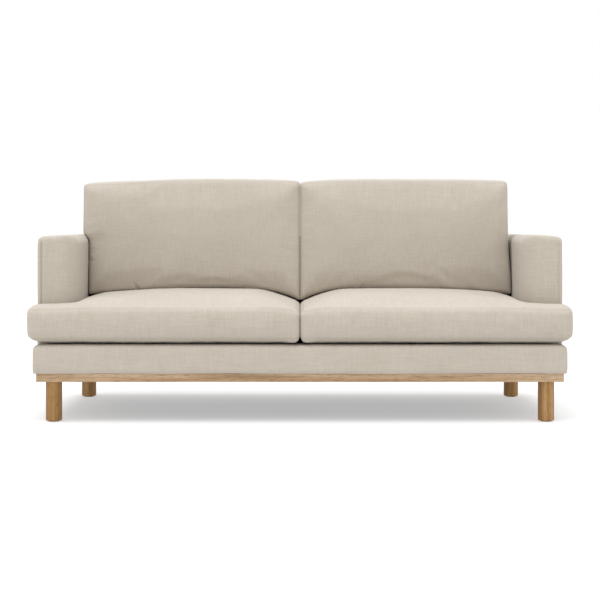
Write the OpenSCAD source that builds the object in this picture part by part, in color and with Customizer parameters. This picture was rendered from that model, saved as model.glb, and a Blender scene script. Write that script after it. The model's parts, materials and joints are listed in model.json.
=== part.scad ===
// Two-seat-cushion sofa with wrap-around seat cushions, an oak plinth and four round oak legs.
// Millimetres, +Z up, front towards -Y, origin on the floor under the middle of the sofa.
// Left and right are as seen from the front: left is -X.

/* [Overall] */
// Width across the front of the two seat cushions
overall_w = 2000; // [1500:10:2400]
// Depth from the front of the seat cushions to the outside back
overall_d = 900; // [750:10:1080]
// Height of the arms and of the back frame above the floor
arm_top_z = 690; // [570:5:830]

/* [Legs and plinth] */
// Diameter of each round leg
leg_d = 60; // [40:1:75]
// Length of each leg without its glide
leg_h = 145; // [90:5:200]
// Radius of the rounded edge round the foot of each leg
leg_edge_r = 4; // [1:0.5:8]
// Diameter of the glide under each leg
glide_d = 40; // [20:1:40]
// Thickness of the glide
glide_h = 3; // [2:0.5:8]
// Height of the oak plinth rails
plinth_h = 31; // [20:1:50]
// Thickness of the oak plinth rails
plinth_t = 22; // [15:1:30]
// How far the plinth sits in from the upholstered sides
plinth_side_inset = 11; // [5:1:40]
// How far the plinth sits back from the upholstered front, and in from the outside back
plinth_front_inset = 25; // [10:1:50]
// Front leg centre to the outer face of the side plinth rail
front_leg_side_inset = 61; // [45:1:80]
// Front leg centre to the front face of the plinth
front_leg_inset = 35; // [34:1:80]
// Rear leg centre to the outer face of the side plinth rail
rear_leg_side_inset = 89; // [45:1:110]
// Rear leg centre to the back face of the plinth
rear_leg_inset = 65; // [34:1:80]

/* [Base frame] */
// Height of the upholstered base from the plinth to the deck
base_h = 107; // [80:1:150]
// Thickness of the front, rear and centre rails of the base
rail_t = 28; // [18:1:40]
// Width of the side rails, which the arm posts stand on
side_rail_w = 60; // [40:1:80]
// Side length of the triangular corner blocks in the base
corner_block = 180; // [150:5:220]
// Side length of the square blocks inside the plinth corners
plinth_block = 150; // [130:5:200]
// Number of elastic straps under the seat
strap_count = 10; // [4:1:12]
// Width of one elastic strap
strap_w = 60; // [40:1:80]

/* [Upholstery] */
// Thickness of the cover fabric
cloth_t = 2; // [1:0.5:4]
// Thickness of the elastic webbing
webbing_t = 2; // [1:0.5:3]
// Thickness of the felt pad under the deck cloth
deck_pad_t = 11; // [5:1:25]
// Thickness of the foam round the arm frames
arm_foam = 25; // [12:1:30]
// Thickness of the foam on the back frame
back_foam = 25; // [15:1:40]
// Width of each arm
arm_w = 142; // [110:1:200]
// How far the seat cushions reach in front of the arms
ear_d = 130; // [80:5:180]
// How far the seat cushions overhang the base at each side
cushion_side_overhang = 16; // [0:1:25]
// How far the seat cushions overhang the base at the front
cushion_front_overhang = 10; // [0:1:20]

/* [Cushions] */
// Thickness of the seat cushions at their edges
seat_cushion_h = 165; // [120:5:200]
// Height of the back cushions
back_cushion_h = 450; // [350:5:520]
// Thickness of the back cushions
back_cushion_t = 200; // [140:5:240]
// How far the back frame and the back cushions lean back over each metre of height
back_lean_run = 105; // [0:5:175]
// Depth of the back frame at its foot
back_frame_d = 159; // [140:1:200]
// Radius of the corners of the cushions seen from above
cushion_corner_r = 30; // [15:1:40]
// Gap between the cushions and the pieces beside and below them
cushion_gap = 1; // [0.5:0.5:4]
// Gap behind the cushions, where their zips are
zip_gap = 5; // [5:0.5:8]
// Length of the zip in each cushion
zip_len = 560; // [300:10:600]

/* [Hardware] */
// Nominal diameter of the hanger bolts in the legs
bolt_d = 8; // [6:1:10]
// Length of hanger bolt inside the leg
bolt_grip = 50; // [30:5:70]
// Diameter of the plinth screws
screw_d = 5; // [4:0.5:6]
// Length of the plinth screws
screw_len = 90; // [70:5:100]

/* [Hidden] */
$fn = 64;

// Levels
plinth_z = glide_h + leg_h;
base_z = plinth_z + plinth_h;
deck_z = base_z + base_h;
cloth_z = deck_z - cloth_t;
pad_z = cloth_z - deck_pad_t;
rail_top_z = pad_z - webbing_t;
seat_z = deck_z + cushion_gap;
seat_top_z = seat_z + seat_cushion_h;
back_z = seat_top_z + cushion_gap;
back_top_z = back_z + back_cushion_h;

// Outer faces, measured from the middle of the sofa
cushion_front_y = -overall_d / 2;
back_y = overall_d / 2;
base_front_y = cushion_front_y + cushion_front_overhang;
base_x = overall_w / 2 - cushion_side_overhang;
rail_x = base_x - cloth_t;
rail_front_y = base_front_y + cloth_t;
rail_back_y = back_y - cloth_t;
plinth_x = base_x - plinth_side_inset;
plinth_front_y = base_front_y + plinth_front_inset;
plinth_back_y = back_y - plinth_front_inset;

// Arms
arm_front_y = cushion_front_y + ear_d;
arm_inner_x = base_x - arm_w;
post_w = arm_w - 2 * (cloth_t + arm_foam);
post_x = arm_inner_x + cloth_t + arm_foam;
post_d = 45;
post_front_y = arm_front_y + cloth_t + arm_foam;
post_back_y = rail_back_y;
post_top_z = arm_top_z - cloth_t - arm_foam;
top_rail_t = 25;

// Back frame, whose front face leans back
back_foot_y = back_y - back_frame_d;
back_frame_top_z = arm_top_z - 4;
back_post_w = 45;
back_half_w = arm_inner_x - cushion_gap / 2;
back_strap_count = 4;
function lean_y(z) = back_foot_y + (z - rail_top_z) * back_lean_run / 1000;

// Cushions
cushion_inner_x = arm_inner_x - cushion_gap;
join_x = cushion_gap;
seat_back_y = back_foot_y - zip_gap;
ear_back_y = arm_front_y - cushion_gap;

// Zips: a tape let into the cover, a row of teeth on it, and a slider with its pull
zip_w = 24;
tape_t = 1.5;
teeth_w = 5;
teeth_h = 1;
slider_gap = 0.4;
slider_w = 9;
slider_len = 14;
slider_t = 2;
pull_len = 22;
pull_w = 6;
zip_x0 = join_x + (cushion_inner_x - join_x - zip_len) / 2;
back_zip_rise = 60;
back_lean = atan(back_lean_run / 1000);

// Fasteners
nut_barrel_d = bolt_d + 3;
nut_flange_d = bolt_d + 14;
nut_flange_t = 1.5;
nut_h = 12;
bolt_clearance = 0.05;
screw_head_d = 2 * screw_d;
screw_head_h = 5;
// Distances of the two screws in each corner from the inner corner of the base frame
screw_spots = [[20, 100], [100, 25]];

OAK = "#c9a077";
OAK_LEG = "#b08554";
PINE = "#d9bd8b";
LINEN = "#c9bfae";
FOAM = "#efe3b4";
STEEL = "#9a9da1";
BLACK = "#2b2b2b";

// Shapes used by several pieces

// A block from its low corner to its high corner
module block(low, high) {
    translate(low) cube(high - low);
}

// A rectangle with round corners
module round_rect(low, high, r) {
    translate([low[0] + r, low[1]]) square([high[0] - low[0] - 2 * r, high[1] - low[1]]);
    translate([low[0], low[1] + r]) square([high[0] - low[0], high[1] - low[1] - 2 * r]);
    for (x = [low[0] + r, high[0] - r], y = [low[1] + r, high[1] - r]) {
        translate([x, y]) circle(r);
    }
}

// A profile given as [y, z] points, drawn out along X
module along_x(points, x0, x1) {
    translate([x0, 0, 0])
        rotate([90, 0, 90])
            linear_extrude(x1 - x0)
                polygon(points);
}

// Draws its children on the right as they are, and mirrored on the left
module on_side(side) {
    if (side > 0) {
        children();
    } else {
        mirror([1, 0, 0]) children();
    }
}

// Legs and what fastens them

function leg_place(front) = front
    ? [plinth_x - front_leg_side_inset, plinth_front_y + front_leg_inset]
    : [plinth_x - rear_leg_side_inset, plinth_back_y - rear_leg_inset];

// Draws its children at each of the four legs
module at_legs() {
    for (side = [-1, 1], front = [true, false]) {
        translate([side * leg_place(front)[0], leg_place(front)[1], 0]) children();
    }
}

module leg(front, side) {
    at = leg_place(front);
    color(OAK_LEG)
        translate([side * at[0], at[1], glide_h])
            difference() {
                rotate_extrude() {
                    square([leg_d / 2 - leg_edge_r, leg_h]);
                    translate([0, leg_edge_r]) square([leg_d / 2, leg_h - leg_edge_r]);
                    translate([leg_d / 2 - leg_edge_r, leg_edge_r])
                        intersection() {
                            circle(leg_edge_r);
                            translate([0, -leg_edge_r]) square(leg_edge_r);
                        }
                }
                translate([0, 0, leg_h - bolt_grip]) cylinder(h = bolt_grip + 1, d = bolt_d);
            }
}

module leg_glides() {
    color(BLACK) at_legs() cylinder(h = glide_h, d = glide_d);
}

module leg_bolts() {
    color(STEEL)
        at_legs()
            translate([0, 0, plinth_z - bolt_grip])
                cylinder(h = bolt_grip + plinth_h - nut_flange_t, d = bolt_d);
}

module leg_tee_nuts() {
    color(STEEL)
        at_legs()
            difference() {
                union() {
                    translate([0, 0, base_z - nut_h]) cylinder(h = nut_h, d = nut_barrel_d);
                    translate([0, 0, base_z - nut_flange_t])
                        cylinder(h = nut_flange_t, d = nut_flange_d);
                }
                translate([0, 0, base_z - nut_h - 1])
                    cylinder(h = nut_h + 2, r = bolt_d / 2 + bolt_clearance);
            }
}

// Plinth

module plinth_long_rail(y0) {
    color(OAK) block([-plinth_x, y0, plinth_z], [plinth_x, y0 + plinth_t, base_z]);
}

module plinth_side_rail(side) {
    color(OAK)
        on_side(side)
            block([plinth_x - plinth_t, plinth_front_y + plinth_t, plinth_z],
                  [plinth_x, plinth_back_y - plinth_t, base_z]);
}

// Draws its children at the inner corner of each plinth corner, turned to face inwards
module at_plinth_corners() {
    for (side = [-1, 1]) {
        on_side(side) {
            translate([plinth_x - plinth_t, plinth_front_y + plinth_t, 0]) children();
            translate([plinth_x - plinth_t, plinth_back_y - plinth_t, 0])
                mirror([0, 1, 0]) children();
        }
    }
}

// Draws its children at each plinth screw
module at_screws() {
    for (side = [-1, 1], spot = screw_spots) {
        on_side(side) {
            translate([rail_x - side_rail_w - spot[0], rail_front_y + rail_t + spot[1], 0])
                children();
            translate([rail_x - side_rail_w - spot[0], rail_back_y - rail_t - spot[1], 0])
                children();
        }
    }
}

module plinth_blocks() {
    color(PINE)
        difference() {
            at_plinth_corners()
                translate([-plinth_block, 0, plinth_z]) cube([plinth_block, plinth_block, plinth_h]);
            at_legs() {
                translate([0, 0, plinth_z - 1]) cylinder(h = plinth_h + 2, d = nut_barrel_d);
                translate([0, 0, base_z - nut_flange_t])
                    cylinder(h = nut_flange_t + 1, d = nut_flange_d);
            }
            at_screws() {
                translate([0, 0, plinth_z - 1]) cylinder(h = plinth_h + 2, d = screw_d);
                translate([0, 0, plinth_z - 1]) cylinder(h = screw_head_h + 1, d = screw_head_d);
            }
        }
}

module plinth_screws() {
    color(STEEL)
        at_screws() {
            translate([0, 0, plinth_z]) cylinder(h = screw_head_h, d = screw_head_d);
            translate([0, 0, plinth_z]) cylinder(h = screw_len, d = screw_d);
        }
}

// Base frame

module base_long_rail(y0) {
    color(PINE) block([-rail_x, y0, base_z], [rail_x, y0 + rail_t, rail_top_z]);
}

module base_side_rail(side) {
    color(PINE)
        on_side(side)
            block([rail_x - side_rail_w, rail_front_y + rail_t, base_z],
                  [rail_x, rail_back_y - rail_t, rail_top_z]);
}

module base_rail_centre() {
    color(PINE)
        block([-rail_t / 2, rail_front_y + rail_t, base_z],
              [rail_t / 2, rail_back_y - rail_t, rail_top_z]);
}

module base_corner_block() {
    linear_extrude(rail_top_z - base_z)
        polygon([[0, 0], [-corner_block, 0], [0, corner_block]]);
}

module base_corner_blocks() {
    color(PINE)
        difference() {
            for (side = [-1, 1]) {
                on_side(side) {
                    translate([rail_x - side_rail_w, rail_front_y + rail_t, base_z])
                        base_corner_block();
                    translate([rail_x - side_rail_w, rail_back_y - rail_t, base_z])
                        mirror([0, 1, 0]) base_corner_block();
                }
            }
            at_screws()
                translate([0, 0, base_z - 1])
                    cylinder(h = plinth_z + screw_len - base_z + 1, d = screw_d);
        }
}

// Deck

clip_d = 8;
// Gap between the outermost straps and the posts of the back frame
strap_edge = 20;
strap_span = 2 * (back_half_w - back_post_w - strap_edge) - strap_w;
strap_pitch = strap_span / (strap_count - 1);

// Draws its children at the middle of each strap under the seat
module at_straps() {
    for (i = [0 : strap_count - 1]) {
        translate([(i - (strap_count - 1) / 2) * strap_pitch, 0, 0]) children();
    }
}

module seat_webbing() {
    color(BLACK)
        at_straps()
            block([-strap_w / 2, rail_front_y + clip_d, rail_top_z],
                  [strap_w / 2, rail_back_y - clip_d, pad_z]);
}

module webbing_clips() {
    color(STEEL)
        at_straps() {
            block([-strap_w / 2, rail_front_y, rail_top_z],
                  [strap_w / 2, rail_front_y + clip_d, pad_z]);
            block([-strap_w / 2, rail_back_y - clip_d, rail_top_z],
                  [strap_w / 2, rail_back_y, pad_z]);
        }
}

// A layer of the deck: wide in front of the arms, narrower between them
module deck_layer(z0, z1, front_y) {
    linear_extrude_between(z0, z1) {
        translate([-rail_x, front_y]) square([2 * rail_x, ear_back_y - front_y]);
        translate([-cushion_inner_x, front_y])
            square([2 * cushion_inner_x, back_foot_y - front_y]);
    }
}

module linear_extrude_between(z0, z1) {
    translate([0, 0, z0]) linear_extrude(z1 - z0) children();
}

module deck_pad() {
    color(FOAM) deck_layer(pad_z, cloth_z, rail_front_y);
}

module deck_cloth() {
    color(LINEN)
        block([-cushion_inner_x, ear_back_y, cloth_z], [cushion_inner_x, back_foot_y, deck_z]);
}

// Base covers and dust cover

// The front cover goes up the front rail and back over the deck as far as the arms
module base_cover_front() {
    color(LINEN)
        along_x([[base_front_y, base_z], [rail_front_y, base_z], [rail_front_y, cloth_z],
                 [ear_back_y, cloth_z], [ear_back_y, deck_z], [base_front_y, deck_z]],
                -base_x, base_x);
}

module base_cover_side(side) {
    color(LINEN)
        on_side(side)
            block([rail_x, rail_front_y, base_z], [base_x, rail_back_y, rail_top_z]);
}

module dust_cover() {
    color(BLACK)
        linear_extrude_between(base_z - 1, base_z)
            difference() {
                translate([-plinth_x + plinth_t, plinth_front_y + plinth_t])
                    square([2 * (plinth_x - plinth_t),
                            plinth_back_y - plinth_front_y - 2 * plinth_t]);
                at_plinth_corners()
                    translate([-plinth_block, 0]) square(plinth_block);
            }
}

// Arms

module arm_front_post(side) {
    color(PINE)
        on_side(side)
            block([post_x, post_front_y, rail_top_z],
                  [post_x + post_w, post_front_y + post_d, post_top_z]);
}

module arm_rear_post(side) {
    color(PINE)
        on_side(side)
            block([post_x, post_back_y - post_d, rail_top_z],
                  [post_x + post_w, post_back_y, post_top_z]);
}

module arm_top_rail(side) {
    color(PINE)
        on_side(side)
            block([post_x, post_front_y + post_d, post_top_z - top_rail_t],
                  [post_x + post_w, post_back_y - post_d, post_top_z]);
}

// A shell of one thickness over an arm, open underneath and at the rear
module arm_shell(side, inset, t) {
    low = [arm_inner_x + inset, arm_front_y + inset, rail_top_z];
    high = [base_x - inset, rail_back_y, arm_top_z - inset];
    on_side(side)
        difference() {
            block(low, high);
            block(low + [t, t, -1], high + [-t, 1, -t]);
        }
}

module arm_padding(side) {
    color(FOAM) arm_shell(side, cloth_t, arm_foam);
}

module arm_cover(side) {
    color(LINEN) arm_shell(side, 0, cloth_t);
}

// Back frame

// The back's profile from a foot level, with its front and top moved in by an inset
function back_profile(inset, foot_z, rear_y) = [
    [lean_y(foot_z) + inset, foot_z],
    [lean_y(back_frame_top_z - inset) + inset, back_frame_top_z - inset],
    [rear_y, back_frame_top_z - inset],
    [rear_y, foot_z]
];

// A layer over the front and top of the back, between two insets
module back_layer(outer, inner) {
    difference() {
        along_x(back_profile(outer, pad_z, rail_back_y), -back_half_w, back_half_w);
        along_x(back_profile(inner, pad_z - 1, rail_back_y + 1), -back_half_w - 1, back_half_w + 1);
    }
}

back_frame_inset = cloth_t + back_foam + webbing_t;
back_rail_h = 70;
back_rail_top_z = back_frame_top_z - back_frame_inset;

module back_post(side) {
    color(PINE)
        on_side(side)
            along_x(back_profile(back_frame_inset, rail_top_z, rail_back_y),
                    back_half_w - back_post_w, back_half_w);
}

module back_top_rail() {
    color(PINE)
        block([-back_half_w + back_post_w, lean_y(back_rail_top_z) + back_frame_inset,
               back_rail_top_z - back_rail_h],
              [back_half_w - back_post_w, rail_back_y, back_rail_top_z]);
}

// Straps across the front of the back frame, which lean as it does
module back_webbing() {
    pitch = floor((back_rail_top_z - rail_top_z) / (back_strap_count + 0.5));
    front = cloth_t + back_foam;
    color(BLACK)
        for (i = [1 : back_strap_count]) {
            z0 = rail_top_z + i * pitch - strap_w / 2;
            z1 = z0 + strap_w;
            along_x([[lean_y(z0) + front, z0], [lean_y(z0) + front + webbing_t, z0],
                     [lean_y(z1) + front + webbing_t, z1], [lean_y(z1) + front, z1]],
                    -back_half_w, back_half_w);
        }
}

module back_padding() {
    color(FOAM) back_layer(cloth_t, cloth_t + back_foam);
}

module back_cover() {
    color(LINEN) back_layer(0, cloth_t);
}

module outside_back_cover() {
    color(LINEN) block([-base_x, rail_back_y, base_z], [base_x, back_y, arm_top_z]);
}

// Seat cushions

// Plan of a right seat cushion: the part between the arms and the ear in front of the arm
module seat_plan(inset) {
    r = cushion_corner_r - inset;
    round_rect([join_x + inset, cushion_front_y + inset],
               [cushion_inner_x - inset, seat_back_y - inset], r);
    round_rect([join_x + inset, cushion_front_y + inset],
               [overall_w / 2 - inset, ear_back_y - inset], r);
}

module seat_solid(inset) {
    linear_extrude_between(seat_z + inset, seat_top_z - inset) seat_plan(inset);
}

seat_zip_z = seat_z + seat_cushion_h / 2;

module seat_core(side) {
    color(FOAM) on_side(side) seat_solid(cloth_t);
}

// A zip's tape and teeth, with the cover's face at y = 0 and its middle at z = 0
module zip() {
    block([0, -tape_t, -zip_w / 2], [zip_len, 0, zip_w / 2]);
    block([0, -tape_t, -teeth_w / 2], [zip_len, teeth_h, teeth_w / 2]);
}

// The opening in a cover that a zip fills
module zip_opening() {
    block([0, -2 * cloth_t, -zip_w / 2], [zip_len, 1, zip_w / 2]);
}

module at_seat_zip() {
    translate([zip_x0, seat_back_y, seat_zip_z]) children();
}

module seat_cover(side) {
    color(LINEN)
        on_side(side)
            difference() {
                seat_solid(0);
                seat_solid(cloth_t);
                at_seat_zip() zip_opening();
            }
}

module seat_zip(side) {
    color(BLACK) on_side(side) at_seat_zip() zip();
}

// A slider and its pull, with the slider's near face at y = 0 and its middle at z = 0
module slider() {
    block([0, 0, -slider_w / 2], [slider_len, slider_t, slider_w / 2]);
    block([slider_len / 2 - pull_w / 2, slider_t / 2, -pull_len],
          [slider_len / 2 + pull_w / 2, slider_t, 0]);
}

module seat_slider(side) {
    color(STEEL)
        on_side(side)
            at_seat_zip()
                translate([0, teeth_h + slider_gap, 0]) slider();
}

// Back cushions

// Profile of a back cushion, which leans as the back frame does
function cushion_back_y(z) = lean_y(z) - zip_gap;
function back_cushion_profile(inset) = [
    [cushion_back_y(back_z + inset) - back_cushion_t + inset, back_z + inset],
    [cushion_back_y(back_z + inset) - inset, back_z + inset],
    [cushion_back_y(back_top_z - inset) - inset, back_top_z - inset],
    [cushion_back_y(back_top_z - inset) - back_cushion_t + inset, back_top_z - inset]
];

module back_cushion_solid(inset) {
    along_x(back_cushion_profile(inset), join_x + inset, cushion_inner_x - inset);
}

back_zip_z = back_z + back_zip_rise;

// Places its children on the rear face of a right back cushion at the zip, leaning with it
module at_back_zip() {
    translate([zip_x0, cushion_back_y(back_zip_z), back_zip_z]) rotate([-back_lean, 0, 0]) children();
}

module back_core(side) {
    color(FOAM) on_side(side) back_cushion_solid(cloth_t);
}

module back_cushion_cover(side) {
    color(LINEN)
        on_side(side)
            difference() {
                back_cushion_solid(0);
                back_cushion_solid(cloth_t);
                at_back_zip() zip_opening();
            }
}

module back_zip(side) {
    color(BLACK) on_side(side) at_back_zip() zip();
}

module back_slider(side) {
    color(STEEL)
        on_side(side)
            at_back_zip()
                translate([0, teeth_h + slider_gap, 0]) slider();
}

leg(true, -1);  // leg_front_left
leg(true, 1);  // leg_front_right
leg(false, -1);  // leg_rear_left
leg(false, 1);  // leg_rear_right
leg_glides();
leg_bolts();
leg_tee_nuts();
plinth_long_rail(plinth_front_y);  // plinth_front
plinth_long_rail(plinth_back_y - plinth_t);  // plinth_rear
plinth_side_rail(-1);  // plinth_left
plinth_side_rail(1);  // plinth_right
plinth_blocks();
plinth_screws();
base_long_rail(rail_front_y);  // base_rail_front
base_long_rail(rail_back_y - rail_t);  // base_rail_rear
base_side_rail(-1);  // base_rail_left
base_side_rail(1);  // base_rail_right
base_rail_centre();
base_corner_blocks();
seat_webbing();
webbing_clips();
deck_pad();
deck_cloth();
base_cover_front();
base_cover_side(-1);  // base_cover_left
base_cover_side(1);  // base_cover_right
dust_cover();
arm_front_post(-1);  // arm_front_post_left
arm_rear_post(-1);  // arm_rear_post_left
arm_top_rail(-1);  // arm_top_rail_left
arm_padding(-1);  // arm_padding_left
arm_cover(-1);  // arm_cover_left
arm_front_post(1);  // arm_front_post_right
arm_rear_post(1);  // arm_rear_post_right
arm_top_rail(1);  // arm_top_rail_right
arm_padding(1);  // arm_padding_right
arm_cover(1);  // arm_cover_right
back_post(-1);  // back_post_left
back_post(1);  // back_post_right
back_top_rail();
back_webbing();
back_padding();
back_cover();
outside_back_cover();
seat_core(-1);  // seat_core_left
seat_cover(-1);  // seat_cover_left
seat_zip(-1);  // seat_zip_left
seat_slider(-1);  // seat_slider_left
seat_core(1);  // seat_core_right
seat_cover(1);  // seat_cover_right
seat_zip(1);  // seat_zip_right
seat_slider(1);  // seat_slider_right
back_core(-1);  // back_core_left
back_cushion_cover(-1);  // back_cushion_cover_left
back_zip(-1);  // back_zip_left
back_slider(-1);  // back_slider_left
back_core(1);  // back_core_right
back_cushion_cover(1);  // back_cushion_cover_right
back_zip(1);  // back_zip_right
back_slider(1);  // back_slider_right
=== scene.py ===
"""A linen sofa with wrap-around seat cushions, an oak plinth and round oak legs.

Everything is in metres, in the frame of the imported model: +Z up, the sofa's front towards -Y.
Left and right are as seen from the front.
"""

import json
import logging
import math
import random
from dataclasses import dataclass, field
from enum import Enum
from typing import Callable, Iterable

import bmesh
import bpy
from mathutils import Matrix, Vector, noise

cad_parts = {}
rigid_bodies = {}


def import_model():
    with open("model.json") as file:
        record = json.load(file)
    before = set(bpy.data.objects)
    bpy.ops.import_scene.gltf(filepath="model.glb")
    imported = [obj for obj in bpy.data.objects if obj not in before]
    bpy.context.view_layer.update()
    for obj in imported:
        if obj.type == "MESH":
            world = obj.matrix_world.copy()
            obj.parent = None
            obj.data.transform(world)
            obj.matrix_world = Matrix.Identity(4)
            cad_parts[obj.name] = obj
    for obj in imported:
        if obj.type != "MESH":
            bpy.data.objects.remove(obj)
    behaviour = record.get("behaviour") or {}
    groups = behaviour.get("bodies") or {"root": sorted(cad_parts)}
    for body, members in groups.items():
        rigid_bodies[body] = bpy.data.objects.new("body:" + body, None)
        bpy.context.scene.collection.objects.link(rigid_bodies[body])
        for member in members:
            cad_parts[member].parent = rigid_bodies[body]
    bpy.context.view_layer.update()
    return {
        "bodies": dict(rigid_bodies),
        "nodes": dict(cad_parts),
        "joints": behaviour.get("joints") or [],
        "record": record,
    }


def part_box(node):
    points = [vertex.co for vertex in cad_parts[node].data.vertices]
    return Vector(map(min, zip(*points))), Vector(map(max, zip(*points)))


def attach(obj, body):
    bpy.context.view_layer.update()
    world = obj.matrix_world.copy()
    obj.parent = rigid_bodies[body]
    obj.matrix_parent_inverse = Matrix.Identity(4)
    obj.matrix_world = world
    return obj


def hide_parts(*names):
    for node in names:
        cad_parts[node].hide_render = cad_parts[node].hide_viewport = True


# Gives a point's new place from its place and its normal.
PointRule = Callable[[Vector, Vector], Vector]
LOG = logging.getLogger("sofa")
MM = 0.001
# How far the padded inner faces of the arms stand from the middle: at the front, then beside the
# back cushions. The padding slims between the two depths of the taper.
ARM_FACE = (838 * MM, 857 * MM)
ARM_TAPER = (-300 * MM, 80 * MM)
# Settings that several shader nodes share.
MULTIPLY_ADD = {"operation": "MULTIPLY_ADD"}
SUBTRACT = {"operation": "SUBTRACT"}
STRETCH = {"operation": "MULTIPLY"}
COLOUR_MIX = {"data_type": "RGBA"}


class Side(Enum):
    """A side of the sofa; the value is the sign of X there."""

    LEFT = -1
    RIGHT = 1

    @property
    def word(self) -> str:
        """The side's name in node and body names."""
        return self.name.lower()


class Grain(Enum):
    """The axis that a piece of wood's grain runs along."""

    X = 0
    Y = 1
    Z = 2


# --------------------------------------------------------------------------- small tools


def linear(hex_code: str) -> tuple[float, float, float, float]:
    """Turns an sRGB hex colour into Blender's linear RGBA.

    Args:
        hex_code: Six hex digits.

    Returns:
        The linear colour, fully opaque.
    """
    channels = []
    for start in (0, 2, 4):
        value = int(hex_code[start : start + 2], 16) / 255
        low = value / 12.92
        high = ((value + 0.055) / 1.055) ** 2.4
        channels.append(low if value <= 0.04045 else high)
    return (*channels, 1.0)


def rise(distance: float, run: float) -> float:
    """How far a padded panel has risen from its seam, from 0 at the seam to 1 well inside.

    Args:
        distance: Distance from the seam.
        run: Distance over which about two thirds of the rise happens.

    Returns:
        The share of the full rise.
    """
    return 1 - math.exp(-max(distance, 0) / run)


def smooth(value: float, low: float, high: float) -> float:
    """A smooth step from 0 at low to 1 at high.

    Args:
        value: Where to read the step.
        low: Where the step starts.
        high: Where the step ends.

    Returns:
        The step's value.
    """
    t = min(max((value - low) / (high - low), 0), 1)
    return t * t * (3 - 2 * t)


def falling(distance: float, drop: float, run: float) -> float:
    """How far a stuffed panel has fallen towards its edge, as a rounded slope.

    Args:
        distance: Distance from the edge.
        drop: The fall at the edge.
        run: Distance over which it falls.

    Returns:
        The fall, 0 beyond the run and the full drop outside the edge.
    """
    share = min(max(1 - distance / run, 0), 1)
    return drop * share * share


def round_corner(u: float, v: float, radius: float) -> tuple[float, float]:
    """Turns a square corner into an arc.

    Args:
        u: Distance in from one face.
        v: Distance in from the other face.
        radius: The arc's radius.

    Returns:
        The new distances.
    """
    if u >= radius or v >= radius:
        return u, v
    angle = (1 - abs(u - v) / radius) * math.pi / 4
    near, far = radius * (1 - math.cos(angle)), radius * (1 - math.sin(angle))
    depth = min(u, v) * 0.3
    return (far + depth, near + depth) if u > v else (near + depth, far + depth)


def bump_at(value: float, centre: float, width: float) -> float:
    """A bell curve of height 1.

    Args:
        value: Where to read the curve.
        centre: Where the curve peaks.
        width: Its half width.

    Returns:
        The curve's value.
    """
    return math.exp(-(((value - centre) / width) ** 2))


def add_node(
    tree: bpy.types.NodeTree,
    kind: str,
    settings: dict[str, object] | None = None,
    inputs: dict[str | int, object] | None = None,
) -> bpy.types.Node:
    """Adds one node with its settings, its values and its incoming links.

    Args:
        tree: The node tree.
        kind: The node's type, without the ShaderNode in front.
        settings: Properties of the node itself.
        inputs: A value, or an output socket to link, for each input by name or number.

    Returns:
        The new node.
    """
    node = tree.nodes.new("ShaderNode" + kind)
    for name, value in (settings or {}).items():
        setattr(node, name, value)
    for key, value in (inputs or {}).items():
        if isinstance(value, bpy.types.NodeSocket):
            tree.links.new(value, node.inputs[key])
        else:
            node.inputs[key].default_value = value
    return node


def fill_ramp(node: bpy.types.Node, stops: Iterable[tuple[float, str]]) -> None:
    """Sets a colour ramp's stops.

    Args:
        node: The ramp.
        stops: Position and hex colour of each stop.
    """
    elements = node.color_ramp.elements
    for index, (position, colour) in enumerate(stops):
        stop = elements[index] if index < 2 else elements.new(position)
        stop.position = position
        stop.color = linear(colour)


def new_material(name: str) -> tuple[bpy.types.Material, bpy.types.NodeTree]:
    """Makes an empty node material.

    Args:
        name: The material's name.

    Returns:
        The material and its cleared tree.
    """
    material = bpy.data.materials.new(name)
    material.use_nodes = True
    material.node_tree.nodes.clear()
    return material, material.node_tree


def end_material(
    tree: bpy.types.NodeTree,
    values: dict[str, object],
    height: bpy.types.NodeSocket | None = None,
    depth: float = 0.0,
) -> None:
    """Adds the shader and the output.

    Args:
        tree: The material's tree.
        values: The shader's inputs.
        height: The height that the bump reads, if there is one.
        depth: The bump's depth in metres.
    """
    shader = add_node(tree, "BsdfPrincipled", inputs=values)
    if height is not None:
        bump = add_node(tree, "Bump", inputs={"Strength": 1.0, "Distance": depth, "Height": height})
        tree.links.new(bump.outputs["Normal"], shader.inputs["Normal"])
    add_node(tree, "OutputMaterial", inputs={"Surface": shader.outputs["BSDF"]})


# --------------------------------------------------------------------------- finishes


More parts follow.
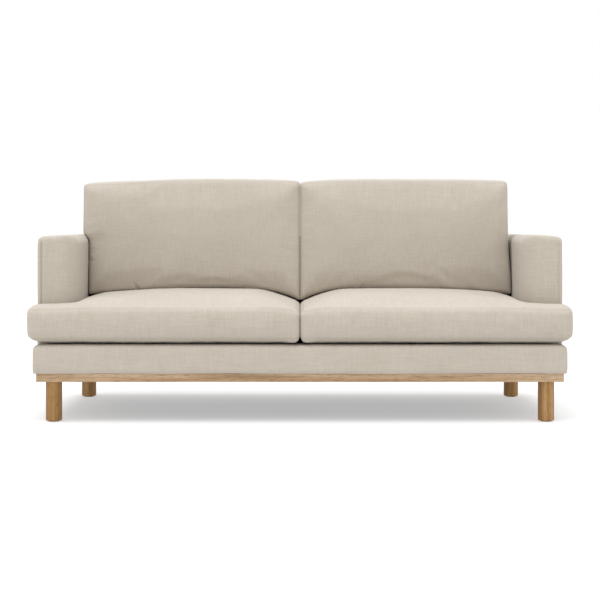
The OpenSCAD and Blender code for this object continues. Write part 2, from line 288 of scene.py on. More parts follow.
@dataclass(frozen=True)
class Linen:
    """Plain-woven linen-look upholstery cloth, matt, with thick and thin threads both ways.

    The eye sees faint broken lines along both axes of each panel, a slow change of tone, and no
    shine but a little sheen at a low angle. Real threads are about 0.8 mm wide. They are drawn
    2.2 mm wide, and the thick ones 4 mm, so that they show from across a room.
    """

    name: str = "woven_linen_cloth"
    light: str = "bcb3a6"
    dark: str = "a79e90"
    # Colour of the painted shade along the sewn seams, standing in for the shade in their grooves.
    seam: str = "6f6658"
    slub_mm: float = 4.0
    slub_length_mm: float = 60.0
    thread_mm: float = 2.2
    depth_mm: float = 0.35
    base_tone: float = 0.32
    slub_tone: float = 0.75
    thread_tone: float = 0.52
    cloud_tone: float = 0.36

    def _threads(
        self,
        tree: bpy.types.NodeTree,
        place: bpy.types.NodeSocket,
        facing: bpy.types.Node,
        pitch_mm: float,
        length_mm: float,
    ) -> bpy.types.NodeSocket:
        """Streaks across each axis, shown only on the faces that the threads lie in.

        Args:
            tree: The material's tree.
            place: Object coordinates.
            facing: Gives the size of each part of the surface normal.
            pitch_mm: Width of a thread.
            length_mm: Length of a thread.

        Returns:
            Streaks about zero.
        """
        total: bpy.types.NodeSocket | float = 0.0
        for axis, word in enumerate("XYZ"):
            scale = [1 / (length_mm * MM)] * 3
            scale[axis] = 1 / (pitch_mm * MM)
            stretched = add_node(tree, "VectorMath", STRETCH, {0: place, 1: scale})
            values = {"Vector": stretched.outputs[0], "Scale": 1.0, "Detail": 2.0}
            streaks = add_node(tree, "TexNoise", inputs=values)
            centred = add_node(tree, "Math", SUBTRACT, {0: streaks.outputs["Fac"], 1: 0.5})
            across = add_node(tree, "Math", SUBTRACT, {0: 1.0, 1: facing.outputs[word]})
            parts = {0: centred.outputs[0], 1: across.outputs[0], 2: total}
            total = add_node(tree, "Math", MULTIPLY_ADD, parts).outputs[0]
        return total

    def make(self) -> bpy.types.Material:
        """Builds the material.

        Returns:
            The material.
        """
        material, tree = new_material(self.name)
        place = add_node(tree, "TexCoord").outputs["Object"]
        normal = add_node(tree, "NewGeometry").outputs["Normal"]
        sizes = add_node(tree, "VectorMath", {"operation": "ABSOLUTE"}, {0: normal})
        facing = add_node(tree, "SeparateXYZ", inputs={0: sizes.outputs[0]})
        slubs = self._threads(tree, place, facing, self.slub_mm, self.slub_length_mm)
        threads = self._threads(tree, place, facing, self.thread_mm, self.slub_length_mm / 3)
        clouds = add_node(tree, "TexNoise", inputs={"Vector": place, "Scale": 6.0, "Detail": 3.0})
        tone: bpy.types.NodeSocket | float = self.base_tone
        layers = ((slubs, self.slub_tone), (threads, self.thread_tone))
        for pattern, share in (*layers, (clouds.outputs["Fac"], self.cloud_tone)):
            parts = {0: pattern, 1: share, 2: tone}
            tone = add_node(tree, "Math", MULTIPLY_ADD, parts).outputs[0]
        ends = {"Factor": tone, 6: linear(self.dark), 7: linear(self.light)}
        cloth = add_node(tree, "Mix", COLOUR_MIX, ends)
        # Painted shade along the seams: the seam attribute darkens the cloth towards the seam
        # colour.
        sewn = add_node(tree, "Attribute", {"attribute_name": "seam"})
        ends = {"Factor": sewn.outputs["Fac"], 6: cloth.outputs[2], 7: linear(self.seam)}
        colour = add_node(tree, "Mix", COLOUR_MIX, ends)
        height = add_node(tree, "Math", MULTIPLY_ADD, {0: threads, 1: 0.8, 2: slubs})
        values = {
            "Base Color": colour.outputs[2],
            "Roughness": 0.92,
            "Specular IOR Level": 0.25,
            "Sheen Weight": 0.15,
            "Sheen Roughness": 0.6,
        }
        end_material(tree, values, height.outputs[0], self.depth_mm * MM)
        return material


@dataclass(frozen=True)
class Timber:
    """Sawn and planed wood with a clear matt oil.

    The eye sees long streaks along the grain, broad bands of lighter and darker wood, and short
    dark pores. Real pores are about 0.3 mm wide. They are drawn 1.6 mm wide so that they show.
    """

    name: str
    grain: Grain
    light: str
    middle: str
    dark: str
    pore: str
    streak_mm: float = 7.0
    streak_length_mm: float = 380.0
    pore_mm: float = 1.6
    pore_length_mm: float = 26.0
    roughness: float = 0.55
    depth_mm: float = 0.25

    def _stretched(
        self,
        tree: bpy.types.NodeTree,
        place: bpy.types.NodeSocket,
        width_mm: float,
        length_mm: float,
        detail: float,
    ) -> bpy.types.NodeSocket:
        """Noise drawn out along the grain.

        Args:
            tree: The material's tree.
            place: Object coordinates.
            width_mm: Size across the grain.
            length_mm: Size along the grain.
            detail: Octaves of detail.

        Returns:
            The noise.
        """
        scale = [1 / (width_mm * MM)] * 3
        scale[self.grain.value] = 1 / (length_mm * MM)
        stretched = add_node(tree, "VectorMath", STRETCH, {0: place, 1: scale})
        values = {"Vector": stretched.outputs[0], "Scale": 1.0, "Detail": detail}
        return add_node(tree, "TexNoise", inputs=values).outputs["Fac"]

    def make(self) -> bpy.types.Material:
        """Builds the material.

        Returns:
            The material.
        """
        material, tree = new_material(self.name)
        place = add_node(tree, "TexCoord").outputs["Object"]
        bands = self._stretched(tree, place, self.streak_mm * 4, self.streak_length_mm * 1.4, 2)
        streaks = self._stretched(tree, place, self.streak_mm, self.streak_length_mm, 5)
        pores = self._stretched(tree, place, self.pore_mm, self.pore_length_mm, 1)
        mixed = add_node(tree, "Math", MULTIPLY_ADD, {0: bands, 1: 0.75, 2: -0.12})
        parts = {0: streaks, 1: 0.5, 2: mixed.outputs[0]}
        mixed = add_node(tree, "Math", MULTIPLY_ADD, parts)
        ramp = add_node(tree, "ValToRGB", inputs={"Fac": mixed.outputs[0]})
        fill_ramp(ramp, [(0.36, self.dark), (0.64, self.light), (0.5, self.middle)])
        limits = {"From Min": 0.55, "From Max": 0.7, "To Min": 0.0, "To Max": 0.75}
        pits = add_node(tree, "MapRange", inputs={"Value": pores, **limits}).outputs[0]
        ends = {"Factor": pits, 6: ramp.outputs["Color"], 7: linear(self.pore)}
        colour = add_node(tree, "Mix", COLOUR_MIX, ends)
        height = add_node(tree, "Math", SUBTRACT, {0: streaks, 1: pits})
        values = {
            "Base Color": colour.outputs[2],
            "Roughness": self.roughness,
            "Specular IOR Level": 0.4,
        }
        end_material(tree, values, height.outputs[0], self.depth_mm * MM)
        return material


@dataclass(frozen=True)
class Mottled:
    """A made-up stuff such as foam, felt, webbing, plated steel or moulded plastic.

    The eye sees one colour broken up by a fine grit. The grit is drawn two or three times as
    coarse as the real cells, fibres or spangle.
    """

    name: str
    light: str
    dark: str
    grit_mm: float
    depth_mm: float
    roughness: float = 0.9
    metallic: float = 0.0

    def make(self) -> bpy.types.Material:
        """Builds the material.

        Returns:
            The material.
        """
        material, tree = new_material(self.name)
        place = add_node(tree, "TexCoord").outputs["Object"]
        grit = add_node(
            tree,
            "TexNoise",
            inputs={"Vector": place, "Scale": 1 / (self.grit_mm * MM), "Detail": 3.0},
        )
        ends = {"Factor": grit.outputs["Fac"], 6: linear(self.dark), 7: linear(self.light)}
        tone = add_node(tree, "Mix", COLOUR_MIX, ends)
        values = {
            "Base Color": tone.outputs[2],
            "Roughness": self.roughness,
            "Metallic": self.metallic,
        }
        end_material(tree, values, grit.outputs["Fac"], self.depth_mm * MM)
        return material


# --------------------------------------------------------------------------- making pieces


def new_piece(name: str, bm: bmesh.types.BMesh, material: bpy.types.Material) -> bpy.types.Object:
    """Turns a bmesh into an object at the origin, with smooth faces and its finish.

    Args:
        name: The piece's name.
        bm: The mesh, which is freed.
        material: Its finish.

    Returns:
        The new object.
    """
    bmesh.ops.recalc_face_normals(bm, faces=bm.faces)
    mesh = bpy.data.meshes.new(name)
    bm.to_mesh(mesh)
    bm.free()
    mesh.shade_smooth()
    piece = bpy.data.objects.new(name, mesh)
    bpy.context.scene.collection.objects.link(piece)
    mesh.materials.append(material)
    return piece


def add_block(bm: bmesh.types.BMesh, low: Vector, high: Vector) -> None:
    """Adds a block between two corners.

    Args:
        bm: The mesh.
        low: The lowest corner.
        high: The highest corner.
    """
    size = high - low
    place = Matrix.Translation((low + high) / 2) @ Matrix.Diagonal((*size, 1))
    bmesh.ops.create_cube(bm, size=1, matrix=place)


def round_edges(
    bm: bmesh.types.BMesh,
    chosen: Callable[[bmesh.types.BMEdge], bool],
    radius: float,
    segments: int = 5,
) -> None:
    """Rounds the edges that a test picks.

    Args:
        bm: The mesh.
        chosen: True for an edge to round.
        radius: The radius.
        segments: Flats across the rounding.
    """
    edges = [e for e in bm.edges if chosen(e)]
    bmesh.ops.bevel(
        bm,
        geom=edges,
        offset=radius,
        segments=segments,
        profile=0.5,
        affect="EDGES",
        material=-1,
    )


def runs_along(edge: bmesh.types.BMEdge, axis: int) -> bool:
    """True if an edge lies along an axis."""
    run = edge.verts[1].co - edge.verts[0].co
    return abs(run[axis]) > 0.999 * run.length


def rounded_block(low: Vector, high: Vector, radius: float) -> bmesh.types.BMesh:
    """Makes a block with every edge rounded.

    Args:
        low: The lowest corner.
        high: The highest corner.
        radius: The edges' radius.

    Returns:
        The block.
    """
    bm = bmesh.new()
    add_block(bm, low, high)
    round_edges(bm, lambda e: True, radius, 3)
    return bm


def settle(piece: bpy.types.Object) -> None:
    """Applies every modifier on a piece.

    Args:
        piece: The piece.
    """
    graph = bpy.context.evaluated_depsgraph_get()
    mesh = bpy.data.meshes.new_from_object(piece.evaluated_get(graph))
    old = piece.data
    piece.modifiers.clear()
    piece.data = mesh
    mesh.name = old.name
    bpy.data.meshes.remove(old)


def remesh(piece: bpy.types.Object, voxel: float) -> None:
    """Replaces a piece's mesh by an even grid of small faces.

    Args:
        piece: The piece.
        voxel: The size of a face.
    """
    modifier = piece.modifiers.new("even", "REMESH")
    modifier.mode = "VOXEL"
    modifier.voxel_size = voxel
    modifier.use_smooth_shade = True
    settle(piece)


def subdivide(piece: bpy.types.Object) -> None:
    """Divides every face once, with rounding, and applies it.

    Args:
        piece: The piece.
    """
    modifier = piece.modifiers.new("fine", "SUBSURF")
    modifier.levels = 1
    modifier.render_levels = 1
    settle(piece)
    piece.data.shade_smooth()


def soften(piece: bpy.types.Object, rounds: int) -> None:
    """Evens out a piece's surface.

    Args:
        piece: The piece.
        rounds: How many times each point moves to the middle of its neighbours.
    """
    bm = bmesh.new()
    bm.from_mesh(piece.data)
    for _ in range(rounds):
        bmesh.ops.smooth_vert(
            bm, verts=bm.verts, factor=0.5, use_axis_x=True, use_axis_y=True, use_axis_z=True
        )
    bm.to_mesh(piece.data)
    bm.free()


def move_points(piece: bpy.types.Object, rule: PointRule) -> None:
    """Moves every point of a piece by a rule.

    Args:
        piece: The piece.
        rule: Gives a point's new place from its place and its normal.
    """
    mesh = piece.data
    places = [rule(v.co.copy(), v.normal.copy()) for v in mesh.vertices]
    mesh.vertices.foreach_set("co", [c for p in places for c in p])
    mesh.update()


def sew(
    piece: bpy.types.Object, strength: Callable[[Vector], float], depth: float, shade: float
) -> None:
    """Pulls in the sewn lines, and stores where they are for painted shade on the cloth there.

    Args:
        piece: The piece.
        strength: From 0 off the seam to 1 on it.
        depth: How far the thread pulls the cloth in.
        shade: How much the painted shade of the seam's groove darkens the cloth, from 0 to 1.
    """
    held = [strength(v.co) for v in piece.data.vertices]
    shares = iter(held)
    move_points(piece, lambda p, n: p - n * (depth * next(shares)))
    layer = piece.data.attributes.new("seam", "FLOAT", "POINT")
    layer.data.foreach_set("value", [shade * h for h in held])


@dataclass(frozen=True)
class Swell:
    """A cloth simulation that fills a padded piece with air, its seams held."""

    pressure: float
    looseness: float
    cap: float
    frames: int = 20

    def run(self, piece: bpy.types.Object, held: Callable[[Vector], float]) -> None:
        """Swells a piece and caps how far each point may move.

        Args:
            piece: The piece.
            held: From 0 where the cloth is free to 1 where a seam or a stop holds it.
        """
        start = [v.co.copy() for v in piece.data.vertices]
        group = piece.vertex_groups.new(name="held")
        for index, place in enumerate(start):
            weight = held(place)
            if weight > 0:
                group.add([index], weight, "REPLACE")
        modifier = piece.modifiers.new("swell", "CLOTH")
        cloth = modifier.settings
        cloth.quality = 4
        cloth.mass = 0.25
        cloth.tension_stiffness = 12
        cloth.compression_stiffness = 12
        cloth.shear_stiffness = 5
        cloth.bending_stiffness = 0.4
        cloth.use_pressure = True
        cloth.uniform_pressure_force = self.pressure
        cloth.shrink_min = -self.looseness
        cloth.vertex_group_mass = group.name
        cloth.pin_stiffness = 1.0
        cloth.effector_weights.gravity = 0
        modifier.collision_settings.use_collision = False
        modifier.point_cache.frame_start = 1
        modifier.point_cache.frame_end = self.frames
        scene = bpy.context.scene
        for frame in range(1, self.frames + 1):
            scene.frame_set(frame)
        settle(piece)
        scene.frame_set(1)
        piece.vertex_groups.clear()
        for vertex, place in zip(piece.data.vertices, start):
            move = vertex.co - place
            if move.length > self.cap:
                vertex.co = place + move * (self.cap / move.length)
        piece.data.update()


def dress(piece: bpy.types.Object, body: str, nodes: Iterable[str], slot: str) -> None:
    """Hangs a piece on the body that carries it and hides the nodes that it stands for.

    Args:
        piece: The piece.
        body: The body that carries it.
        nodes: The nodes that it stands for.
        slot: The material slot; not used.
    """
    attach(piece, body)
    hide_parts(*nodes)
    LOG.info("%s: %d faces", piece.name, len(piece.data.polygons))


def foam_block(
    name: str,
    node: str,
    corners: tuple[Vector, Vector],
    foam: bpy.types.Material,
    body: str = "sofa_frame",
    radius: float = 6 * MM,
) -> bpy.types.Object:
    """Makes a plain cut block of foam with eased edges.

    Args:
        name: The piece's name.
        node: The node that it stands for.
        corners: Its lowest and highest corner.
        foam: The foam's finish.
        body: The body that carries it.
        radius: The radius of its edges.

    Returns:
        The block.
    """
    block = new_piece(name, rounded_block(*corners, radius), foam)
    dress(block, body, [node], "foam")
    return block


# --------------------------------------------------------------------------- cushions


def arm_face(y: float) -> float:
    """Where the padded inner face of an arm is: fullest at the front, slimmer towards the back.

    Args:
        y: Depth.

    Returns:
        Its distance from the sofa's middle.
    """
    low, high = ARM_FACE
    return low + (high - low) * smooth(y, *ARM_TAPER)


@dataclass
class Outline:
    """A cushion's outline: one or more boxes in a plane, with round corners."""

    boxes: list[tuple[float, float, float, float]]
    radius: float

    def inside(self, u: float, v: float) -> float:
        """Distance from a point to the outline, positive inside.

        Args:
            u: The point's first coordinate.
            v: The point's second coordinate.

        Returns:
            The distance.
        """
        best = -1e9
        for low_u, low_v, high_u, high_v in self.boxes:
            du = abs(u - (low_u + high_u) / 2) - (high_u - low_u) / 2 + self.radius
            dv = abs(v - (low_v + high_v) / 2) - (high_v - low_v) / 2 + self.radius
            away = math.hypot(max(du, 0), max(dv, 0)) + min(max(du, dv), 0) - self.radius
            best = max(best, -away)
        return best


@dataclass
class SeatCushion:
    """A loose seat cushion that wraps round in front of the arm.

    A side band joins a top and a bottom panel. Both panels rise from their seams, and the part
    between the arms is crowned.
    """

    side: Side
    cloth: bpy.types.Material
    foam: bpy.types.Material
    crest: float = 460 * MM
    top_seam_drop: float = 34 * MM
    bottom_seam_lift: float = 24 * MM
    bottom_run: float = 40 * MM
    join_drop: float = 46 * MM
    join_run: float = 205 * MM
    arm_drop: float = 27 * MM
    arm_run: float = 450 * MM
    arm_start: float = 905 * MM
    front_drop: float = 35 * MM
    front_run: float = 250 * MM
    rear_drop: float = 30 * MM
    rear_run: float = 120 * MM
    most_drop: float = 48 * MM
    edge_roll: float = 5 * MM
    edge_run: float = 16 * MM
    band_bulge: float = 3 * MM
    ridge: float = 3.5 * MM
    ear_extra: float = 5 * MM
    corner_radius: float = 22 * MM
    voxel: float = 10 * MM
    deck_gap: float = 1 * MM
    join_fullness: float = 34 * MM
    join_fullness_run: float = 70 * MM
    join_reach: float = 1 * MM
    join_squeeze: float = 0.6 * MM
    clear: float = 1 * MM
    rear_clear: float = 1.9 * MM
    deck_touch: float = 0.3 * MM
    band_reach: float = 12 * MM
    swell: float = 1.6 * MM
    ripple: float = 0.8 * MM
    seam_pull: float = 1.2 * MM
    # How dark the painted shade along the seams is.
    seam_shade: float = 0.16
    core_inset: float = 20 * MM
    core_top_inset: float = 16 * MM
    core_drop: float = 10 * MM
    low: Vector = field(init=False)
    high: Vector = field(init=False)

    def __post_init__(self) -> None:
        """Reads the cushion's place from the frame, turned to the right side."""
        low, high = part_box(f"seat_cover_{self.side.word}")
        arm_low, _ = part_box("arm_cover_right")
        self.low = Vector((min(abs(low.x), abs(high.x)), low.y, low.z))
        self.high = Vector((max(abs(low.x), abs(high.x)), high.y, high.z))
        self.arm_x = ARM_FACE[1] - self.clear
        self.ear_y = arm_low.y - self.clear
        self.top_seam = self.high.z - self.top_seam_drop
        self.bottom_seam = self.low.z + self.bottom_seam_lift
        bulge = self.band_bulge
        join, front = -self.join_reach, self.low.y + bulge
        self.main = (join, front, self.arm_x, self.high.y - self.clear)
        self.ear = (join, front, self.high.x + self.ear_extra - bulge, self.ear_y)
        self.outline = Outline([self.main, self.ear], self.corner_radius)

    def top_at(self, x: float, y: float) -> float:
        """Height of the top panel.

        Args:
            x: Distance from the sofa's middle, on the right side.
            y: Depth.

        Returns:
            The height.
        """
        drops = (
            falling(x, self.join_drop, self.join_run),
            falling(self.arm_start - x, self.arm_drop, self.arm_run),
            falling(y - self.main[1], self.front_drop, self.front_run),
            falling(self.main[3] - y, self.rear_drop, self.rear_run),
        )
        whole = sum(d**3 for d in drops) ** (1 / 3)
        roll = self.edge_roll * (1 - rise(self.outline.inside(x, y), self.edge_run))
        return self.crest - min(whole, self.most_drop) - roll

    def bottom_at(self, x: float, y: float) -> float:
        """Height of the bottom panel, which is flat where it rests on the deck.

        Args:
            x: Distance from the sofa's middle, on the right side.
            y: Depth.

        Returns:
            The height.
        """
        inside = self.outline.inside(x, y)
        inside += self.join_fullness * (1 - smooth(x, 0, self.join_fullness_run))
        drop = self.bottom_seam_lift * 1.1 * rise(inside, self.bottom_run)
        return max(self.bottom_seam - drop, self.low.z + self.deck_gap)

    def _block(self) -> bmesh.types.BMesh:
        """Two blocks the height of the side band, with round corners.

        Returns:
            The mesh.
        """
        whole = bmesh.new()
        for low_x, low_y, high_x, high_y in (self.main, self.ear):
            part = bmesh.new()
            add_block(
                part,
                Vector((low_x, low_y, self.bottom_seam)),
                Vector((high_x, high_y, self.top_seam)),
            )
            round_edges(part, lambda e: runs_along(e, 2), self.corner_radius, 6)
            mesh = bpy.data.meshes.new("part")
            part.to_mesh(mesh)
            part.free()
            whole.from_mesh(mesh)
            bpy.data.meshes.remove(mesh)
        return whole

    def _shape(self, place: Vector, normal: Vector) -> Vector:
        """Gives one point of the block its place on the cushion.

        Args:
            place: The point.
            normal: The surface's direction there.

        Returns:
            The point's new place.
        """
        x, y, z = place
        share = (z - self.bottom_seam) / (self.top_seam - self.bottom_seam)
        level = (self.top_at(x, y) - self.top_seam) * smooth(share, 0.0, 1.0)
        level -= (self.bottom_seam - self.bottom_at(x, y)) * smooth(-share, -0.12, 0.0)
        edge = max(0, 1 - max(self.outline.inside(x, y), 0) / self.band_reach)
        out = Vector((normal.x, normal.y, 0))
        bulge = self.band_bulge * edge * max(0, 1 - (2 * share - 1) ** 2)
        turn = self.side.value * 9
        wave = self.swell * noise.noise(Vector((x * 4, y * 4, z * 6 + turn)))
        wave += self.ripple * noise.noise(Vector((x * 13, y * 10, z * 9 + turn)))
        ridge = self.ridge * edge * bump_at(share, 1.0, 0.08)
        foot = self.ridge * edge * bump_at(share, 0.0, 0.08)
        moved = Vector((x, y, z + level + ridge * 0.6)) + out * (bulge + ridge + foot)
        return self._keep_clear(moved + normal * wave)

    def _keep_clear(self, place: Vector) -> Vector:
        """Keeps a point off the neighbour, the arm, the deck and the back.

        Args:
            place: The point.

        Returns:
            The nearest place that is clear.
        """
        x = max(place.x, self.low.x - self.join_squeeze)
        y = min(place.y, self.high.y - self.rear_clear)
        z = max(place.z, self.low.z + self.deck_touch)
        if y > self.ear_y:
            x = min(x, arm_face(y) - self.clear)
        return Vector((x, y, z))

    def _held(self, place: Vector) -> float:
        """How firmly the seams, the neighbours and the deck hold a point.

        Args:
            place: The point.

        Returns:
            From 0, free, to 1, held.
        """
        d = self.outline.inside(place.x, place.y)
        on_seam = max(
            bump_at(place.z, self.top_at(place.x, place.y), 9 * MM),
            bump_at(place.z, self.bottom_seam, 9 * MM),
        )
        seam = on_seam if d < 10 * MM else 0
        rests = 1.0 if place.z < self.low.z + 4 * MM else 0
        beside = 1.0 if place.x < self.low.x + 3 * MM or place.y > self.high.y - 4 * MM else 0
        return max(seam, rests, beside)

    def _seam(self, place: Vector) -> float:
        """How much of the sewn line a point holds.

        Args:
            place: The point.

        Returns:
            From 0, off it, to 1, on it.
        """
        right = Vector((place.x * self.side.value, place.y, place.z))
        if self.outline.inside(right.x, right.y) > 16 * MM:
            return 0
        top = bump_at(right.z, self.top_at(right.x, right.y) - 3 * MM, 3 * MM)
        bottom = bump_at(right.z, self.bottom_seam - 2 * MM, 4 * MM)
        return max(top, bottom)

    def build(self) -> bpy.types.Object:
        """Makes the cushion's cover and its foam core.

        Returns:
            The cover.
        """
        word = self.side.word
        cover = new_piece(f"seat_cushion_{word}", self._block(), self.cloth)
        remesh(cover, self.voxel)
        move_points(cover, self._shape)
        soften(cover, 1)
        Swell(pressure=1.2, looseness=0.003, cap=5 * MM).run(cover, self._held)
        soften(cover, 1)
        move_points(cover, lambda p, n: self._keep_clear(p))
        subdivide(cover)
        mirror_to(cover, self.side)
        sew(cover, self._seam, self.seam_pull, self.seam_shade)
        dress(cover, f"seat_cushion_{word}", [f"seat_cover_{word}"], "linen")
        self._core()
        return cover

    def _core(self) -> None:
        """Makes the foam block inside the cover."""
        word = self.side.word
        inset = self.core_inset
        low_x, low_y, high_x, high_y = self.main
        top = self.crest - self.most_drop - self.core_top_inset
        corners = (
            Vector((low_x + inset, low_y + inset, self.bottom_seam - self.core_drop)),
            Vector((high_x - inset, high_y - inset, top)),
        )
        names = f"seat_foam_{word}", f"seat_core_{word}"
        core = foam_block(*names, corners, self.foam, f"seat_cushion_{word}", 14 * MM)
        mirror_to(core, self.side)


def mirror_to(piece: bpy.types.Object, side: Side) -> None:
    """Turns a piece made on the right side to its own side.

    Args:
        piece: The piece.
        side: Where it belongs.
    """
    if side is Side.RIGHT:
        return
    piece.data.transform(Matrix.Diagonal((-1, 1, 1, 1)))
    piece.data.flip_normals()


@dataclass(frozen=True)
class Crease:
    """A short fold pressed into a cushion's front, deepest where it starts."""

    start: tuple[float, float]
    end: tuple[float, float]
    depth: float
    width: float

    def depth_at(self, x: float, z: float) -> float:
        """How deep the fold is at a point.

        Args:
            x: The point's distance from the sofa's middle.
            z: The point's height.

        Returns:
            The depth.
        """
        run = Vector((self.end[0] - self.start[0], self.end[1] - self.start[1]))
        off = Vector((x - self.start[0], z - self.start[1]))
        share = min(max(off.dot(run) / run.length_squared, 0), 1)
        away = (off - run * share).length
        return self.depth * (1 - share) * math.exp(-((away / self.width) ** 2))


@dataclass(frozen=True)
class Settling:
    """How use has left a loose back cushion: corners slumped, outer side spilt or drawn in."""

    outer_drop: float
    inner_drop: float
    spill: float
    spill_from: float
    spill_to: float

    def spill_at(self, z: float) -> float:
        """How far out the outer side stands at a height."""
        return self.spill * smooth(z, self.spill_from, self.spill_to)


SETTLED = {
    Side.LEFT: Settling(
        outer_drop=17 * MM,
        inner_drop=6 * MM,
        spill=24 * MM,
        spill_from=655 * MM,
        spill_to=690 * MM,
    ),
    Side.RIGHT: Settling(
        outer_drop=6 * MM,
        inner_drop=12 * MM,
        spill=-10 * MM,
        spill_from=480 * MM,
        spill_to=640 * MM,
    ),
}


@dataclass
class BackCushion:
    """A loose back cushion that leans on the back frame and rests on its seat cushion."""

    side: Side
    seat: SeatCushion
    cloth: bpy.types.Material
    foam: bpy.types.Material
    front_seam_depth: float = 20 * MM
    rear_seam_depth: float = 22 * MM
    edge_rise: float = 12 * MM
    edge_run: float = 13 * MM
    crown: float = 18 * MM
    crown_run: float = 110 * MM
    join_wave: float = 0.35 * MM
    peak_x: float = 340 * MM
    corner_radius: float = 7 * MM
    hug: float = 90 * MM
    voxel: float = 8.5 * MM
    top_band_rise: float = 3 * MM
    join_squeeze: float = 0.6 * MM
    clear: float = 1 * MM
    rear_clear: float = 1.9 * MM
    swell: float = 2.2 * MM
    ripple: float = 0.8 * MM
    deepest_crease: float = 9 * MM
    seam_pull: float = 1.2 * MM
    # How dark the painted shade along the seams is.
    seam_shade: float = 0.16
    core_inset: float = 30 * MM
    low: Vector = field(init=False)
    high: Vector = field(init=False)

    def __post_init__(self) -> None:
        """Reads the cushion's place and its lean from the frame, turned to the right side."""
        node = bpy.data.objects[f"back_cushion_cover_{self.side.word}"]
        points = [v.co for v in node.data.vertices]
        low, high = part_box(node.name)
        self.low = Vector((min(abs(low.x), abs(high.x)), low.y, low.z))
        self.high = Vector((max(abs(low.x), abs(high.x)), high.y, high.z))
        foot = max(p.y for p in points if p.z < low.z + 1 * MM)
        self.lean = (high.y - foot) / (high.z - low.z)
        self.foot_y = foot
        self.thickness = foot - low.y
        self.settled = SETTLED[self.side]
        self.creases = self._pick_creases()
        self.outline = Outline(
            [(-self.clear, self.low.z, ARM_FACE[1] - self.clear, self.high.z)],
            self.corner_radius,
        )

    def _pick_creases(self) -> list[Crease]:
        """Puckers where the cover meets the arm and the seat, and one deeper tuck.

        Returns:
            The folds.
        """
        draw = random.Random(40 + self.side.value)
        found = []
        for _ in range(5):
            z = draw.uniform(0.56, 0.645)
            length = draw.uniform(18, 45) * MM
            start = (ARM_FACE[1], z)
            end = (ARM_FACE[1] - length, z - draw.uniform(-8, 14) * MM)
            found.append(Crease(start, end, draw.uniform(2, 4) * MM, 5 * MM))
        for _ in range(9):
            x = draw.uniform(0.08, 0.8)
            foot = self.seat.top_at(x, 0.12)
            length = draw.uniform(15, 40) * MM
            end = (x + draw.uniform(-12, 12) * MM, foot + length)
            found.append(Crease((x, foot), end, draw.uniform(1, 2.5) * MM, 6 * MM))
        tuck_x = 651 * MM if self.side is Side.LEFT else 240 * MM
        tuck = Crease((tuck_x, 456 * MM), (tuck_x + 25 * MM, 492 * MM), 8 * MM, 6 * MM)
        return [*found, tuck]

    def _lean(self, place: Vector) -> Vector:
        """Puts the lean back in."""
        rear = self.foot_y + self.lean * (place.z - self.low.z)
        return Vector((place.x, rear - place.y, place.z))

    def _block(self) -> bmesh.types.BMesh:
        """A block the depth of the side band, with round corners.

        Returns:
            The mesh.
        """
        bm = bmesh.new()
        low_x, low_z, high_x, high_z = self.outline.boxes[0]
        add_block(
            bm,
            Vector((low_x, self.rear_seam_depth, low_z)),
            Vector((high_x, self.thickness - self.front_seam_depth, high_z)),
        )
        round_edges(bm, lambda e: runs_along(e, 1), self.corner_radius, 5)
        return bm

    def _shape(self, place: Vector, normal: Vector) -> Vector:
        """Gives one point of the block its place on the cushion, before the lean.

        Args:
            place: The point.
            normal: The surface's direction there.

        Returns:
            The point's new place.
        """
        x, y, z = place
        front = self.thickness - self.front_seam_depth
        share = (y - self.rear_seam_depth) / (front - self.rear_seam_depth)
        d = self.outline.inside(x, z)
        out = self.edge_rise * rise(d, self.edge_run) + self.crown * rise(d, self.crown_run)
        y += out * smooth(share, 0.9, 1.0)
        y -= self.rear_seam_depth * 1.1 * rise(d, self.edge_run) * smooth(-share, -0.1, 0.0)
        top = smooth(z, self.high.z - 0.14, self.high.z)
        outer = max(x - self.peak_x, 0) / (self.high.x - self.peak_x)
        inner = max(self.peak_x - x, 0) / self.peak_x
        z -= top * (self.settled.outer_drop * outer**2 + self.settled.inner_drop * inner**3)
        band = max(0, 1 - (2 * share - 1) ** 2)
        z += self.top_band_rise * band * top
        x += self.settled.spill_at(z) * (x / self.high.x) ** 6
        low = self.low.z
        sits = self.seat.top_at(x, min(self.foot_y - y, 0.16)) + 2 * MM
        z += (sits - low) * (1 - smooth(z, low, low + self.hug))
        turn = self.side.value * 7
        wave = self.swell * noise.noise(Vector((x * 3.5 + turn, y * 5, z * 4)))
        wave += self.ripple * noise.noise(Vector((x * 12 + turn, y * 9, z * 11)))
        return Vector((x, y, z)) + normal * wave

    def _keep_clear(self, place: Vector) -> Vector:
        """Holds a leaning point off the seat, the neighbour, the arm and the back frame.

        Args:
            place: The point.

        Returns:
            The nearest place that is clear.
        """
        most = arm_face(place.y) - self.clear
        most += self.settled.spill_at(place.z)
        join = self.side.value * self.join_wave * noise.noise(Vector((0.5, 0.5, place.z * 14)))
        x = min(max(place.x, self.low.x - self.join_squeeze + join), most)
        rear = self.foot_y + self.lean * (place.z - self.low.z) - self.rear_clear
        y = min(place.y, rear)
        z = max(place.z, self.seat.top_at(x, min(y, self.seat.high.y)) + self.clear)
        return Vector((x, y, z))

    def _held(self, place: Vector) -> float:
        """How firmly the seams and the neighbours hold a point, before the lean.

        Args:
            place: The point.

        Returns:
            From 0, free, to 1, held.
        """
        d = self.outline.inside(place.x, place.z)
        front = self.thickness - self.front_seam_depth
        on_seam = max(
            bump_at(place.y, front, 9 * MM), bump_at(place.y, self.rear_seam_depth, 9 * MM)
        )
        seam = on_seam if d < 10 * MM else 0
        beside = 1.0 if place.x < self.low.x + 3 * MM or place.y < 2 * MM else 0
        return max(seam, beside)

    def _press(self, place: Vector, normal: Vector) -> Vector:
        """Presses the creases into the cushion's front.

        Args:
            place: The point.
            normal: The surface's direction there.

        Returns:
            The point's new place.
        """
        if normal.y > -0.3:
            return place
        deep = sum(crease.depth_at(place.x, place.z) for crease in self.creases)
        return place + Vector((0, min(deep, self.deepest_crease), 0))

